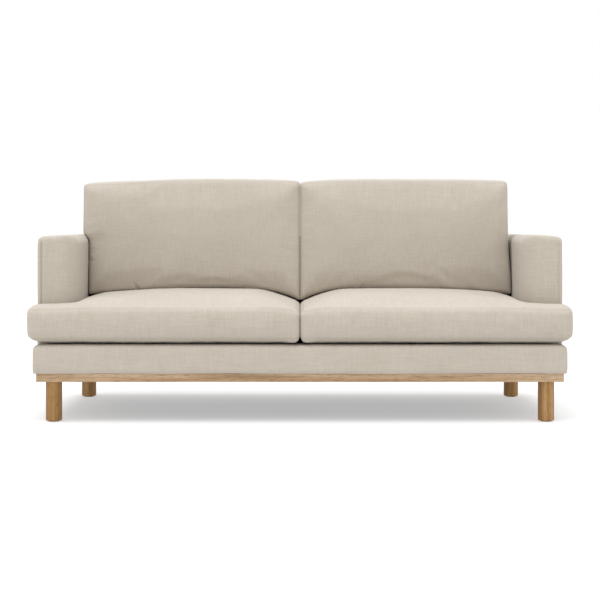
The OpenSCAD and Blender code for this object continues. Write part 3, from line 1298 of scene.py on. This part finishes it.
    def _seam(self, place: Vector) -> float:
        """How much of a sewn line a point holds.

        Args:
            place: The point.

        Returns:
            From 0, off it, to 1, on it.
        """
        flat = self._lean(Vector((abs(place.x), place.y, place.z)))
        inside = Outline([(0, self.low.z, 0.9, self.high.z + 20 * MM)], 1 * MM)
        sides = flat.x < 6 * MM or flat.x > self.high.x - 4 * MM
        if not sides and inside.inside(flat.x, flat.z) > 45 * MM:
            return 0
        front = bump_at(flat.y, self.thickness - self.front_seam_depth + 2 * MM, 3.5 * MM)
        rear = bump_at(flat.y, self.rear_seam_depth, 3.5 * MM)
        return max(front, rear)

    def build(self) -> bpy.types.Object:
        """Makes the cushion's cover and its foam core.

        Returns:
            The cover.
        """
        word = self.side.word
        cover = new_piece(f"back_cushion_{word}", self._block(), self.cloth)
        remesh(cover, self.voxel)
        move_points(cover, self._shape)
        soften(cover, 1)
        Swell(pressure=1.0, looseness=0.002, cap=4 * MM).run(cover, self._held)
        soften(cover, 1)
        move_points(cover, lambda p, n: self._keep_clear(self._lean(p)))
        cover.data.flip_normals()
        subdivide(cover)
        move_points(cover, self._press)
        mirror_to(cover, self.side)
        sew(cover, self._seam, self.seam_pull, self.seam_shade)
        dress(cover, f"back_cushion_{word}", [f"back_cushion_cover_{word}"], "linen")
        self._core()
        return cover

    def _core(self) -> None:
        """Makes the foam block inside the cover."""
        word = self.side.word
        inset = self.core_inset
        front = self.thickness - self.front_seam_depth
        corners = (
            Vector((self.low.x + inset, self.rear_seam_depth, self.low.z + 2 * inset)),
            Vector((self.high.x - inset, front, self.high.z - inset)),
        )
        names = f"back_foam_{word}", f"back_core_{word}"
        core = foam_block(*names, corners, self.foam, f"back_cushion_{word}", 10 * MM)
        move_points(core, lambda p, n: self._lean(p))
        core.data.flip_normals()
        mirror_to(core, self.side)


# --------------------------------------------------------------------------- fixed upholstery


def cut_across(bm: bmesh.types.BMesh, axis: int, low: float, high: float, step: float) -> None:
    """Cuts a mesh into slices, so that it can bend.

    Args:
        bm: The mesh.
        axis: The axis that the cuts stand across.
        low: Where the mesh starts on that axis.
        high: Where it ends.
        step: About how far apart the cuts are.
    """
    count = max(round((high - low) / step), 1)
    normal = Vector((axis == 0, axis == 1, axis == 2))
    for index in range(1, count):
        place = normal * (low + (high - low) * index / count)
        everything = bm.verts[:] + bm.edges[:] + bm.faces[:]
        bmesh.ops.bisect_plane(bm, geom=everything, dist=1e-6, plane_co=place, plane_no=normal)


@dataclass
class Arm:
    """One track arm: a padded cover with a crowned top and a seam round its front panel."""

    side: Side
    cloth: bpy.types.Material
    foam: bpy.types.Material
    rear_y: float
    top_z: float = 682 * MM
    rear_drop: float = 7 * MM
    crown: float = 4 * MM
    crown_x: float = 900 * MM
    outer_radius: float = 20 * MM
    inner_radius: float = 34 * MM
    front_radius: float = 12 * MM
    inner_front_radius: float = 66 * MM
    seam_inset: float = 17 * MM
    plump: float = 3 * MM
    swell: float = 1.6 * MM
    ripple: float = 0.7 * MM
    seam_pull: float = 1.0 * MM
    seam_groove: float = 1.8 * MM
    voxel: float = 8 * MM
    low: Vector = field(init=False)
    high: Vector = field(init=False)

    def __post_init__(self) -> None:
        """Reads the arm's place from the frame, turned to the right side."""
        low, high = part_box("arm_cover_right")
        self.low = Vector((ARM_FACE[0], low.y, low.z - 2 * MM))
        self.high = Vector((high.x + self.plump, self.rear_y, self.top_z))

    def _block(self) -> bmesh.types.BMesh:
        """The arm's block, with each edge rounded as much as the padding there allows.

        Returns:
            The mesh.
        """
        bm = bmesh.new()
        add_block(bm, self.low, self.high)
        top, front = self.high.z - 1 * MM, self.low.y + 1 * MM
        inner, outer = self.low.x + 1 * MM, self.high.x - 1 * MM

        def at(edge: bmesh.types.BMEdge, axis: int, low: float, high: float) -> bool:
            """True if both ends of an edge lie between two places on an axis."""
            return all(low < v.co[axis] < high for v in edge.verts)

        round_edges(
            bm,
            lambda e: runs_along(e, 1) and at(e, 2, top, 9) and at(e, 0, -9, inner),
            self.inner_radius,
            8,
        )
        round_edges(
            bm,
            lambda e: runs_along(e, 1) and at(e, 2, top, 9) and at(e, 0, outer, 9),
            self.outer_radius,
            5,
        )
        round_edges(
            bm,
            lambda e: at(e, 1, -9, front) and not at(e, 2, -9, self.low.z + 1 * MM),
            self.front_radius,
            4,
        )
        return bm

    def _groove(self, place: Vector) -> float:
        """From 0 to 1 on the seam round the front panel.

        Args:
            place: The point.

        Returns:
            From 0, off it, to 1, on it.
        """
        if place.y > self.low.y + 10 * MM:
            return 0
        below = smooth(self.top_z - place.z, 8 * MM, 24 * MM)
        return below * bump_at(self.high.x - place.x, self.seam_inset, 3.5 * MM)

    def _shape(self, place: Vector, normal: Vector) -> Vector:
        """Gives one point of the block its place on the arm.

        Args:
            place: The point.
            normal: The surface's direction there.

        Returns:
            The point's new place.
        """
        x, y, z = place
        top = smooth(z, self.top_z - 60 * MM, self.top_z)
        z += self.crown * top * bump_at(x, self.crown_x, 52 * MM)
        z -= self.rear_drop * top * smooth(y, -250 * MM, 400 * MM)
        turn = self.side.value
        wave = self.swell * noise.noise(Vector((x * 5 + turn * 4, y * 4, z * 5)))
        wave += self.ripple * noise.noise(Vector((x * 14, y * 11 + turn * 5, z * 12)))
        in_x, in_y = round_corner(
            max(x - self.low.x, 0), max(y - self.low.y, 0), self.inner_front_radius
        )
        if x - self.low.x < self.inner_front_radius and y - self.low.y < self.inner_front_radius:
            x, y = self.low.x + in_x, self.low.y + in_y
        x += (arm_face(y) - self.low.x) * (1 - smooth(x, self.low.x, self.crown_x))
        settled = Vector((x, y, z)) + normal * wave
        settled.y += self.seam_groove * self._groove(place)
        x = max(settled.x, arm_face(settled.y))
        return Vector((x, max(settled.y, self.low.y + 0.5 * MM), settled.z))

    def _seam(self, place: Vector) -> float:
        """How much of the sewn line a point holds."""
        return self._groove(Vector((abs(place.x), place.y, place.z)))

    def build(self) -> None:
        """Makes the arm's cover and the foam under it."""
        word = self.side.word
        cover = new_piece(f"arm_{word}", self._block(), self.cloth)
        remesh(cover, self.voxel)
        move_points(cover, self._shape)
        soften(cover, 3)
        subdivide(cover)
        mirror_to(cover, self.side)
        # Painted shade along the front seam, darker on the left arm, where the light falls
        # differently.
        sew(cover, self._seam, self.seam_pull, 0.5 if self.side is Side.LEFT else 0.2)
        dress(cover, "sofa_frame", [f"arm_cover_{word}"], "linen")
        self._padding()

    def _padding(self) -> None:
        """The foam that wraps the arm's frame, a little inside the cover."""
        word = self.side.word
        low = self.low + Vector((36 * MM, 20 * MM, 14 * MM))
        high = self.high - Vector((13 * MM, 14 * MM, 15 * MM))
        if self.side is Side.LEFT:
            low.x, high.x = -high.x, -low.x
        foam_block(f"arm_foam_{word}", f"arm_padding_{word}", (low, high), self.foam)


@dataclass
class BaseCovers:
    """The cloth-covered band round the base: a padded front and flat sides."""

    cloth: bpy.types.Material
    front_clear: float = -3 * MM
    top_radius: float = 17 * MM
    corner_radius: float = 5 * MM
    voxel: float = 9 * MM
    side_thickness: float = 8 * MM
    swell: float = 1.5 * MM
    ripple: float = 0.8 * MM

    def _front(self) -> None:
        """The padded front, which runs back over the deck as far as the arms."""
        low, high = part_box("base_cover_front")
        arm_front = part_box("arm_cover_right")[0].y
        high = Vector((high.x, arm_front - self.front_clear, high.z))
        bm = bmesh.new()
        add_block(bm, low, high)
        top = high.z - 1 * MM
        rear = high.y - 1 * MM

        def on_top(edge: bmesh.types.BMEdge) -> bool:
            """True for the top edges, apart from the one that meets the deck cloth."""
            return all(v.co.z > top for v in edge.verts) and any(v.co.y < rear for v in edge.verts)

        round_edges(bm, on_top, self.top_radius, 6)
        round_edges(bm, lambda e: runs_along(e, 2), self.corner_radius, 3)
        cover = new_piece("base_front", bm, self.cloth)
        remesh(cover, self.voxel)

        def shape(place: Vector, normal: Vector) -> Vector:
            """Gives the cloth its slight waves, most along the hem.

            Args:
                place: The point.
                normal: The surface's direction there.

            Returns:
                The point's new place.
            """
            x, y, z = place
            wave = self.swell * noise.noise(Vector((x * 3.5, y * 6, z * 9 + 3)))
            wave += self.ripple * noise.noise(Vector((x * 13, y * 9, z * 12 + 8)))
            moved = place + normal * wave
            hem = bump_at(z, low.z, 9 * MM)
            moved.z += hem * (0.6 * MM + 0.9 * MM * noise.noise(Vector((x * 7, 1.5, 4.5))))
            moved.y = min(max(moved.y, low.y - 1.5 * MM), high.y + 0.5 * MM)
            return moved

        move_points(cover, shape)
        soften(cover, 1)
        subdivide(cover)
        dress(cover, "sofa_frame", ["base_cover_front"], "linen")

    def _side(self, side: Side) -> None:
        """One flat side, from the front cover back to the outside back.

        Args:
            side: The side.
        """
        low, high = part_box("base_cover_right")
        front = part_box("arm_cover_right")[0].y
        low = Vector((high.x - self.side_thickness, front, low.z + 1.5 * MM))
        high = Vector((high.x + 0.5 * MM, high.y - 2 * MM, high.z + 1.5 * MM))
        bm = rounded_block(low, high, 2.5 * MM)
        cut_across(bm, 1, low.y, high.y, 25 * MM)
        cut_across(bm, 2, low.z, high.z, 15 * MM)
        cover = new_piece(f"base_side_{side.word}", bm, self.cloth)

        def slack(place: Vector, normal: Vector) -> Vector:
            """Lets the stretched cloth stand a little in or out."""
            soft = noise.noise(Vector((side.value * 3, place.y * 6, place.z * 9)))
            return place + normal * (0.6 * MM * soft)

        move_points(cover, slack)
        mirror_to(cover, side)
        dress(cover, "sofa_frame", [f"base_cover_{side.word}"], "linen")

    def build(self) -> None:
        """Makes the front and both sides."""
        self._front()
        for side in Side:
            self._side(side)


@dataclass
class FixedBack:
    """The fixed back: a padded inside that leans, and a flat outside."""

    cloth: bpy.types.Material
    foam: bpy.types.Material
    foot_y: float
    lean: float
    top_z: float = 672 * MM
    outside_top_z: float = 668 * MM
    side_tuck: float = 19 * MM
    outside_thickness: float = 10 * MM
    top_radius: float = 20 * MM
    corner_radius: float = 18 * MM
    voxel: float = 10 * MM

    def _leaning(self, low: Vector, high: Vector) -> PointRule:
        """A rule that leans the front of a block back and leaves its rear upright.

        Args:
            low: The block's lowest corner.
            high: Its highest corner.

        Returns:
            The rule, for move_points.
        """

        def rule(place: Vector, normal: Vector) -> Vector:
            """Moves a point back by its share of the lean.

            Args:
                place: The point.
                normal: The surface's direction there.

            Returns:
                The point's new place.
            """
            share = (high.y - place.y) / (high.y - low.y)
            back = share * self.lean * (place.z - low.z)
            return place + Vector((0, back, 0))

        return rule

    def _inside(self) -> None:
        """The padded inside cover and its foam."""
        low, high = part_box("back_cover")
        foot = self.foot_y + 1 * MM
        low = Vector((low.x - self.side_tuck, foot, low.z + 10 * MM))
        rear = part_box("outside_back_cover")[1].y - self.outside_thickness
        high = Vector((high.x + self.side_tuck, rear, self.top_z))
        bm = bmesh.new()
        add_block(bm, low, high)
        top = high.z - 1 * MM
        round_edges(bm, lambda e: runs_along(e, 0) and e.verts[0].co.z > top, self.top_radius, 6)
        cover = new_piece("back_inside", bm, self.cloth)
        remesh(cover, self.voxel)
        move_points(cover, self._leaning(low, high))

        def wave(place: Vector, normal: Vector) -> Vector:
            """Gives the padding its slight unevenness.

            Args:
                place: The point.
                normal: The surface's direction there.

            Returns:
                The point's new place.
            """
            swell = 1.4 * MM * noise.noise(place * 5)
            moved = place + normal * swell
            moved.y = min(moved.y, high.y)
            return moved

        move_points(cover, wave)
        soften(cover, 1)
        subdivide(cover)
        dress(cover, "sofa_frame", ["back_cover"], "linen")
        inset = Vector((12 * MM + self.side_tuck, 14 * MM, 4 * MM))
        corners = low + inset, high - inset * 1.3
        block = foam_block("back_foam", "back_padding", corners, self.foam)
        move_points(block, self._leaning(*corners))

    def _outside(self) -> None:
        """The flat outside back, with round top corners."""
        low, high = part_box("outside_back_cover")
        low = Vector((low.x, high.y - self.outside_thickness, low.z + 1.5 * MM))
        high = Vector((high.x, high.y, self.outside_top_z))
        bm = bmesh.new()
        add_block(bm, low, high)
        top = high.z - 1 * MM
        round_edges(bm, lambda e: runs_along(e, 1) and e.verts[0].co.z > top, self.corner_radius, 8)
        round_edges(bm, lambda e: not runs_along(e, 1), 3 * MM, 3)
        cut_across(bm, 0, low.x, high.x, 25 * MM)
        cut_across(bm, 2, low.z, high.z, 25 * MM)
        cover = new_piece("back_outside", bm, self.cloth)

        def slack(place: Vector, normal: Vector) -> Vector:
            """Lets the stretched cloth stand a little in or out."""
            soft = noise.noise(Vector((place.x * 3, 2.5, place.z * 4)))
            return place + normal * (1.2 * MM * soft)

        move_points(cover, slack)
        dress(cover, "sofa_frame", ["outside_back_cover"], "linen")

    def build(self) -> None:
        """Makes the inside and the outside."""
        self._inside()
        self._outside()


@dataclass
class Layer:
    """A flat layer of the deck: a grid of cells, some left out, with a thickness."""

    node: str
    name: str
    finish: bpy.types.Material
    slot: str
    thickness: float
    keep: Callable[[float, float], bool]
    cell: float = 22 * MM
    sag: float = 0.8 * MM
    inset: float = 0.0
    tuck: float = 0.0

    def build(self) -> bpy.types.Object:
        """Makes the layer.

        Returns:
            The layer.
        """
        low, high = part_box(self.node)
        low = Vector((low.x + self.inset, low.y + self.inset, high.z - self.thickness))
        high = high + Vector((-self.inset, self.tuck, 0))
        bm = bmesh.new()
        add_block(bm, low, high)
        cut_across(bm, 0, low.x, high.x, self.cell)
        cut_across(bm, 1, low.y, high.y, self.cell)
        gone = []
        for face in bm.faces:
            middle = face.calc_center_median()
            if abs(face.normal.z) < 0.5 or not self.keep(middle.x, middle.y):
                gone.append(face)
        bmesh.ops.delete(bm, geom=gone, context="FACES")
        rims = [e for e in bm.edges if len(e.link_faces) == 1]
        bmesh.ops.bridge_loops(bm, edges=rims)
        layer = new_piece(self.name, bm, self.finish)

        def settled(place: Vector, normal: Vector) -> Vector:
            """Lets the layer sag by a different amount from place to place."""
            share = 0.5 + noise.noise(Vector((place.x * 5, place.y * 5, 1)))
            return place - Vector((0, 0, self.sag * share))

        move_points(layer, settled)
        layer.data.shade_flat()
        dress(layer, "sofa_frame", [self.node], self.slot)
        return layer


@dataclass
class Deck:
    """What lies under the seat cushions: the deck cloth, a felt pad, straps and a dust cover."""

    cloth: bpy.types.Material
    felt: bpy.types.Material
    webbing: bpy.types.Material
    lining: bpy.types.Material

    def build(self) -> None:
        """Makes the layers and the straps."""
        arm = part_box("arm_cover_right")[0]
        top = Layer(
            "deck_cloth",
            "deck_top",
            self.cloth,
            "linen",
            1.5 * MM,
            lambda x, y: True,
            tuck=8 * MM,
        ).build()
        pad = Layer(
            "deck_pad",
            "deck_felt",
            self.felt,
            "felt",
            10 * MM,
            lambda x, y: abs(x) < arm.x or y < arm.y,
            inset=16 * MM,
        ).build()
        self._dust_cover()
        for node in ("seat_webbing", "back_webbing"):
            self._straps(node)

    def _dust_cover(self) -> None:
        """The thin lining under the base, cut out round the blocks that hold the legs."""
        blocks = [v.co for v in bpy.data.objects["plinth_blocks"].data.vertices]
        inner_x = min(abs(p.x) for p in blocks)
        front = max(p.y for p in blocks if p.y < 0)
        rear = min(p.y for p in blocks if p.y > 0)

        def keep(x: float, y: float) -> bool:
            """True where there is cloth."""
            return abs(x) < inner_x - 12 * MM or front + 12 * MM < y < rear - 12 * MM

        lining = Layer(
            "dust_cover", "dust_lining", self.lining, "dust_cloth", 0.8 * MM, keep, sag=0
        ).build()

    def _straps(self, node: str) -> None:
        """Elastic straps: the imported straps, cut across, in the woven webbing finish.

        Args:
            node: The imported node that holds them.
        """
        bm = bmesh.new()
        bm.from_mesh(bpy.data.objects[node].data)
        bmesh.ops.remove_doubles(bm, verts=bm.verts, dist=1e-5)
        bmesh.ops.dissolve_limit(bm, angle_limit=0.01, verts=bm.verts, edges=bm.edges)
        low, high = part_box(node)
        along = 0 if node == "back_webbing" else 1
        cut_across(bm, along, low[along], high[along], 12 * MM)
        straps = new_piece(node.replace("webbing", "straps"), bm, self.webbing)
        straps.data.shade_flat()
        dress(straps, "sofa_frame", [node], "elastic_webbing")


# --------------------------------------------------------------------------- zips


@dataclass
class Zip:
    """A coil zip with its tape, sewn into the rear of a cushion's cover."""

    node: str
    body: str
    lean: float
    tape: bpy.types.Material
    teeth: bpy.types.Material
    pitch: float = 5 * MM
    tooth_height: float = 1.1 * MM
    tooth_width: float = 1.6 * MM
    tooth_reach: float = 2.8 * MM
    tooth_overlap: float = 0.4 * MM
    tape_thickness: float = 1.0 * MM
    tape_width: float = 24 * MM
    end_clear: float = 5 * MM

    def build(self) -> None:
        """Makes the tape and the teeth on one mesh with two finishes."""
        low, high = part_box(self.node)
        middle = (low + high) / 2
        turn = Matrix.Rotation(-math.atan(self.lean), 4, "X")
        corner = Vector((high.x - low.x, self.tape_thickness, self.tape_width)) / 2
        bm = bmesh.new()
        add_block(bm, -corner, corner)
        round_edges(bm, lambda e: not runs_along(e, 1), 0.3 * MM, 2)
        count = round((2 * corner.x - 2 * self.end_clear) / self.pitch)
        lap = self.tooth_overlap
        for index in range(count):
            x = -corner.x + self.end_clear + (index + 0.5) * self.pitch
            for up in (-1, 1):
                centre = x + self.pitch / 4 * up
                reach = up * self.tooth_reach
                left, right = centre - self.tooth_width / 2, centre + self.tooth_width / 2
                start = Vector((left, lap, min(0, reach) - lap))
                end = Vector((right, self.tooth_height + lap, max(0, reach) + lap))
                add_block(bm, start, end)
        for face in bm.faces:
            face.material_index = int(face.calc_center_median().y > corner.y + 0.01 * MM)
        bmesh.ops.transform(bm, matrix=Matrix.Translation(middle) @ turn, verts=bm.verts)
        strip = new_piece(self.node.replace("zip", "zip_strip"), bm, self.tape)
        strip.data.materials.append(self.teeth)
        strip.data.shade_flat()
        dress(strip, self.body, [self.node], "zip_tape")


# --------------------------------------------------------------------------- wood


@dataclass
class Rails:
    """Four planed rails in a rectangle, with eased edges: front, rear, left and right."""

    stem: str
    ending: str
    slot: str
    along_x: bpy.types.Material
    along_y: bpy.types.Material
    ease: float
    inset: float = 0.0

    def build(self) -> None:
        """Makes the rails, smaller by the inset where cloth goes round them."""
        for word in ("front", "rear", "left", "right"):
            node = f"{self.stem}_{word}"
            low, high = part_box(node)
            low.x += self.inset if word != "right" else 0
            high.x -= self.inset if word != "left" else 0
            low.y += self.inset if word == "front" else 0
            high.y -= self.inset if word == "rear" else 0
            low.z += self.inset
            finish = self.along_x if word in ("front", "rear") else self.along_y
            rail = new_piece(f"{node}_{self.ending}", rounded_block(low, high, self.ease), finish)
            flatten_big_faces(rail)
            dress(rail, "sofa_frame", [node], self.slot)


def flatten_big_faces(piece: bpy.types.Object) -> None:
    """Keeps flat faces flat beside rounded edges, by weighing normals by area.

    Args:
        piece: The piece.
    """
    modifier = piece.modifiers.new("even light", "WEIGHTED_NORMAL")
    modifier.keep_sharp = True
    settle(piece)


# --------------------------------------------------------------------------- studio


@dataclass
class Studio:
    """The pale floor, the soft lights and the camera."""

    camera_distance: float = 6.05
    camera_height: float = 0.793
    lens_mm: float = 91.75
    shift_y: float = -0.155
    key_strength: float = 2.3
    key_softness: float = 50.0
    key_direction: tuple[float, float, float] = (0.08, 0.19, -1.0)
    key_colour: tuple[float, float, float] = (0.95, 0.985, 1.05)
    floor_colour: str = "bdbdbc"
    floor_glow: float = 0.4

    def build(self) -> None:
        """Makes the floor, the lights, the background and the camera."""
        self._floor()
        self._lights()
        self._camera()

    def _floor(self) -> None:
        """A wide plain floor."""
        bm = bmesh.new()
        bmesh.ops.create_grid(bm, x_segments=1, y_segments=1, size=30)
        material, tree = new_material("floor")
        values = {
            "Base Color": linear(self.floor_colour),
            "Roughness": 0.9,
            "Emission Color": linear("ffffff"),
            "Emission Strength": self.floor_glow,
        }
        end_material(tree, values)
        floor = new_piece("floor", bm, material)

    def _lights(self) -> None:
        """A white sky and one very soft light from high above in front."""
        world = bpy.data.worlds.new("studio")
        world.use_nodes = True
        world.node_tree.nodes["Background"].inputs["Color"].default_value = (1, 1, 1, 1)
        world.node_tree.nodes["Background"].inputs["Strength"].default_value = 1.0
        bpy.context.scene.world = world
        data = bpy.data.lights.new("key", "SUN")
        data.energy = self.key_strength
        data.color = self.key_colour
        data.angle = math.radians(self.key_softness)
        lamp = bpy.data.objects.new("key", data)
        lamp.rotation_mode = "QUATERNION"
        lamp.rotation_quaternion = Vector(self.key_direction).to_track_quat("-Z", "Y")
        bpy.context.scene.collection.objects.link(lamp)

    def _camera(self) -> None:
        """A level camera in front of the sofa."""
        data = bpy.data.cameras.new("camera")
        data.lens = self.lens_mm
        data.sensor_width = 36
        data.shift_y = self.shift_y
        camera = bpy.data.objects.new("camera", data)
        camera.location = Vector((0, -self.camera_distance, self.camera_height))
        camera.rotation_euler = (math.pi / 2, 0, 0)
        bpy.context.scene.collection.objects.link(camera)
        bpy.context.scene.camera = camera
        bpy.context.scene.view_settings.view_transform = "Standard"


@dataclass
class Finishes:
    """Every finish on the sofa, made once."""

    linen: bpy.types.Material = field(init=False)
    foam: bpy.types.Material = field(init=False)
    felt: bpy.types.Material = field(init=False)
    lining: bpy.types.Material = field(init=False)
    webbing: bpy.types.Material = field(init=False)
    tape: bpy.types.Material = field(init=False)
    zinc: bpy.types.Material = field(init=False)
    nylon: bpy.types.Material = field(init=False)
    plinth_x: bpy.types.Material = field(init=False)
    plinth_y: bpy.types.Material = field(init=False)
    leg: bpy.types.Material = field(init=False)
    pine_x: bpy.types.Material = field(init=False)
    pine_y: bpy.types.Material = field(init=False)
    pine_z: bpy.types.Material = field(init=False)

    def __post_init__(self) -> None:
        """Makes the finishes."""
        self.linen = Linen().make()
        # Cut polyurethane foam: pale yellow, dull, with open cells that catch a little shadow.
        self.foam = Mottled("cut_polyurethane_foam", "efe0ad", "e0cf98", 3.0, 0.4).make()
        # Needled felt from mixed waste fibres: grey flecks, quite flat.
        self.felt = Mottled("needled_felt", "8a8a88", "5c5c5e", 4.0, 0.8).make()
        # Spunbonded polypropylene: near black, dull, faintly speckled.
        self.lining = Mottled("spunbonded_dust_cloth", "2c2c2e", "1d1d1f", 1.5, 0.2).make()
        # Woven rubber and polyester webbing: dark, with a slight shine on its ribs.
        self.webbing = Mottled("woven_elastic_webbing", "34302c", "1f1c1a", 1.2, 0.3, 0.8).make()
        # Woven polyester tape, dyed a little darker than the cloth.
        self.tape = Mottled("woven_zip_tape", "9a9182", "857c6e", 1.0, 0.15).make()
        # Zinc-plated steel: light grey metal, half dull, with a cloudy spangle.
        self.zinc = Mottled("zinc_plated_steel", "c9c8c4", "a9a8a6", 6.0, 0.05, 0.35, 1.0).make()
        # Moulded nylon: dark grey, half dull, nearly smooth.
        self.nylon = Mottled("moulded_nylon", "3a3a3b", "2d2d2e", 0.8, 0.05, 0.5).make()
        # Pale oiled oak for the plinth, warmer and darker oiled oak for the turned legs, and
        # yellow planed pine inside. Each row is light, middle and dark wood, then the pores.
        oak = ("cbb191", "ba9c7a", "a38360", "7a5c3c")
        leg = ("ad8653", "9a7342", "835e33", "5c4121")
        pine = ("e6cfa2", "dcbf8c", "cda873", "b08a58")
        self.plinth_x = Timber("planed_oiled_oak_across", Grain.X, *oak).make()
        self.plinth_y = Timber("planed_oiled_oak_deep", Grain.Y, *oak).make()
        self.leg = Timber("turned_oiled_oak", Grain.Z, *leg).make()
        self.pine_x = Timber("planed_pine_across", Grain.X, *pine, streak_mm=11.0).make()
        self.pine_y = Timber("planed_pine_deep", Grain.Y, *pine, streak_mm=11.0).make()
        self.pine_z = Timber("planed_pine_upright", Grain.Z, *pine, streak_mm=11.0).make()

    def _for_node(self, name: str) -> bpy.types.Material:
        """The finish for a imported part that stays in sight.

        Args:
            name: The node's name.

        Returns:
            Its finish.
        """
        if name.startswith("leg_"):
            special = {
                "leg_glides": self.nylon,
                "leg_bolts": self.zinc,
                "leg_tee_nuts": self.zinc,
            }
            return special.get(name, self.leg)
        if any(word in name for word in ("screws", "clips", "slider")):
            return self.zinc
        if name == "plinth_blocks":
            return self.plinth_x
        if "post" in name:
            return self.pine_z
        if name in ("base_rail_left", "base_rail_right", "base_rail_centre") or "arm_top" in name:
            return self.pine_y
        return self.pine_x

    def dress_frame(self, nodes: dict[str, bpy.types.Object]) -> None:
        """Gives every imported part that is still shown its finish.

        Args:
            nodes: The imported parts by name.
        """
        for name, node in sorted(nodes.items()):
            if node.hide_render:
                continue
            node.data.materials.clear()
            node.data.materials.append(self._for_node(name))
            LOG.info("%s wears %s", name, node.data.materials[0].name)


def main() -> None:
    """Builds the sofa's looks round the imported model."""
    logging.basicConfig(level=logging.INFO, format="%(name)s: %(message)s")
    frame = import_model()
    Studio().build()
    finishes = Finishes()
    linen, foam = finishes.linen, finishes.foam
    arms_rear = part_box("outside_back_cover")[1].y - 5 * MM
    lean = 0.0
    for side in Side:
        seat = SeatCushion(side, linen, foam)
        seat.build()
        back = BackCushion(side, seat, linen, foam)
        back.build()
        lean = back.lean
        Arm(side, linen, foam, arms_rear).build()
        word = side.word
        Zip(f"seat_zip_{word}", f"seat_cushion_{word}", 0, finishes.tape, finishes.zinc).build()
        Zip(f"back_zip_{word}", f"back_cushion_{word}", lean, finishes.tape, finishes.zinc).build()
    BaseCovers(linen).build()
    FixedBack(linen, foam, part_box("back_cover")[0].y, lean).build()
    Deck(linen, finishes.felt, finishes.webbing, finishes.lining).build()
    pine = (finishes.pine_x, finishes.pine_y)
    oak = (finishes.plinth_x, finishes.plinth_y)
    Rails("base_rail", "wood", "frame_pine", *pine, ease=4 * MM, inset=5 * MM).build()
    Rails("plinth", "rail", "oak_plinth", *oak, ease=1.6 * MM).build()
    finishes.dress_frame(frame["nodes"])


if __name__ == "__main__":
    main()
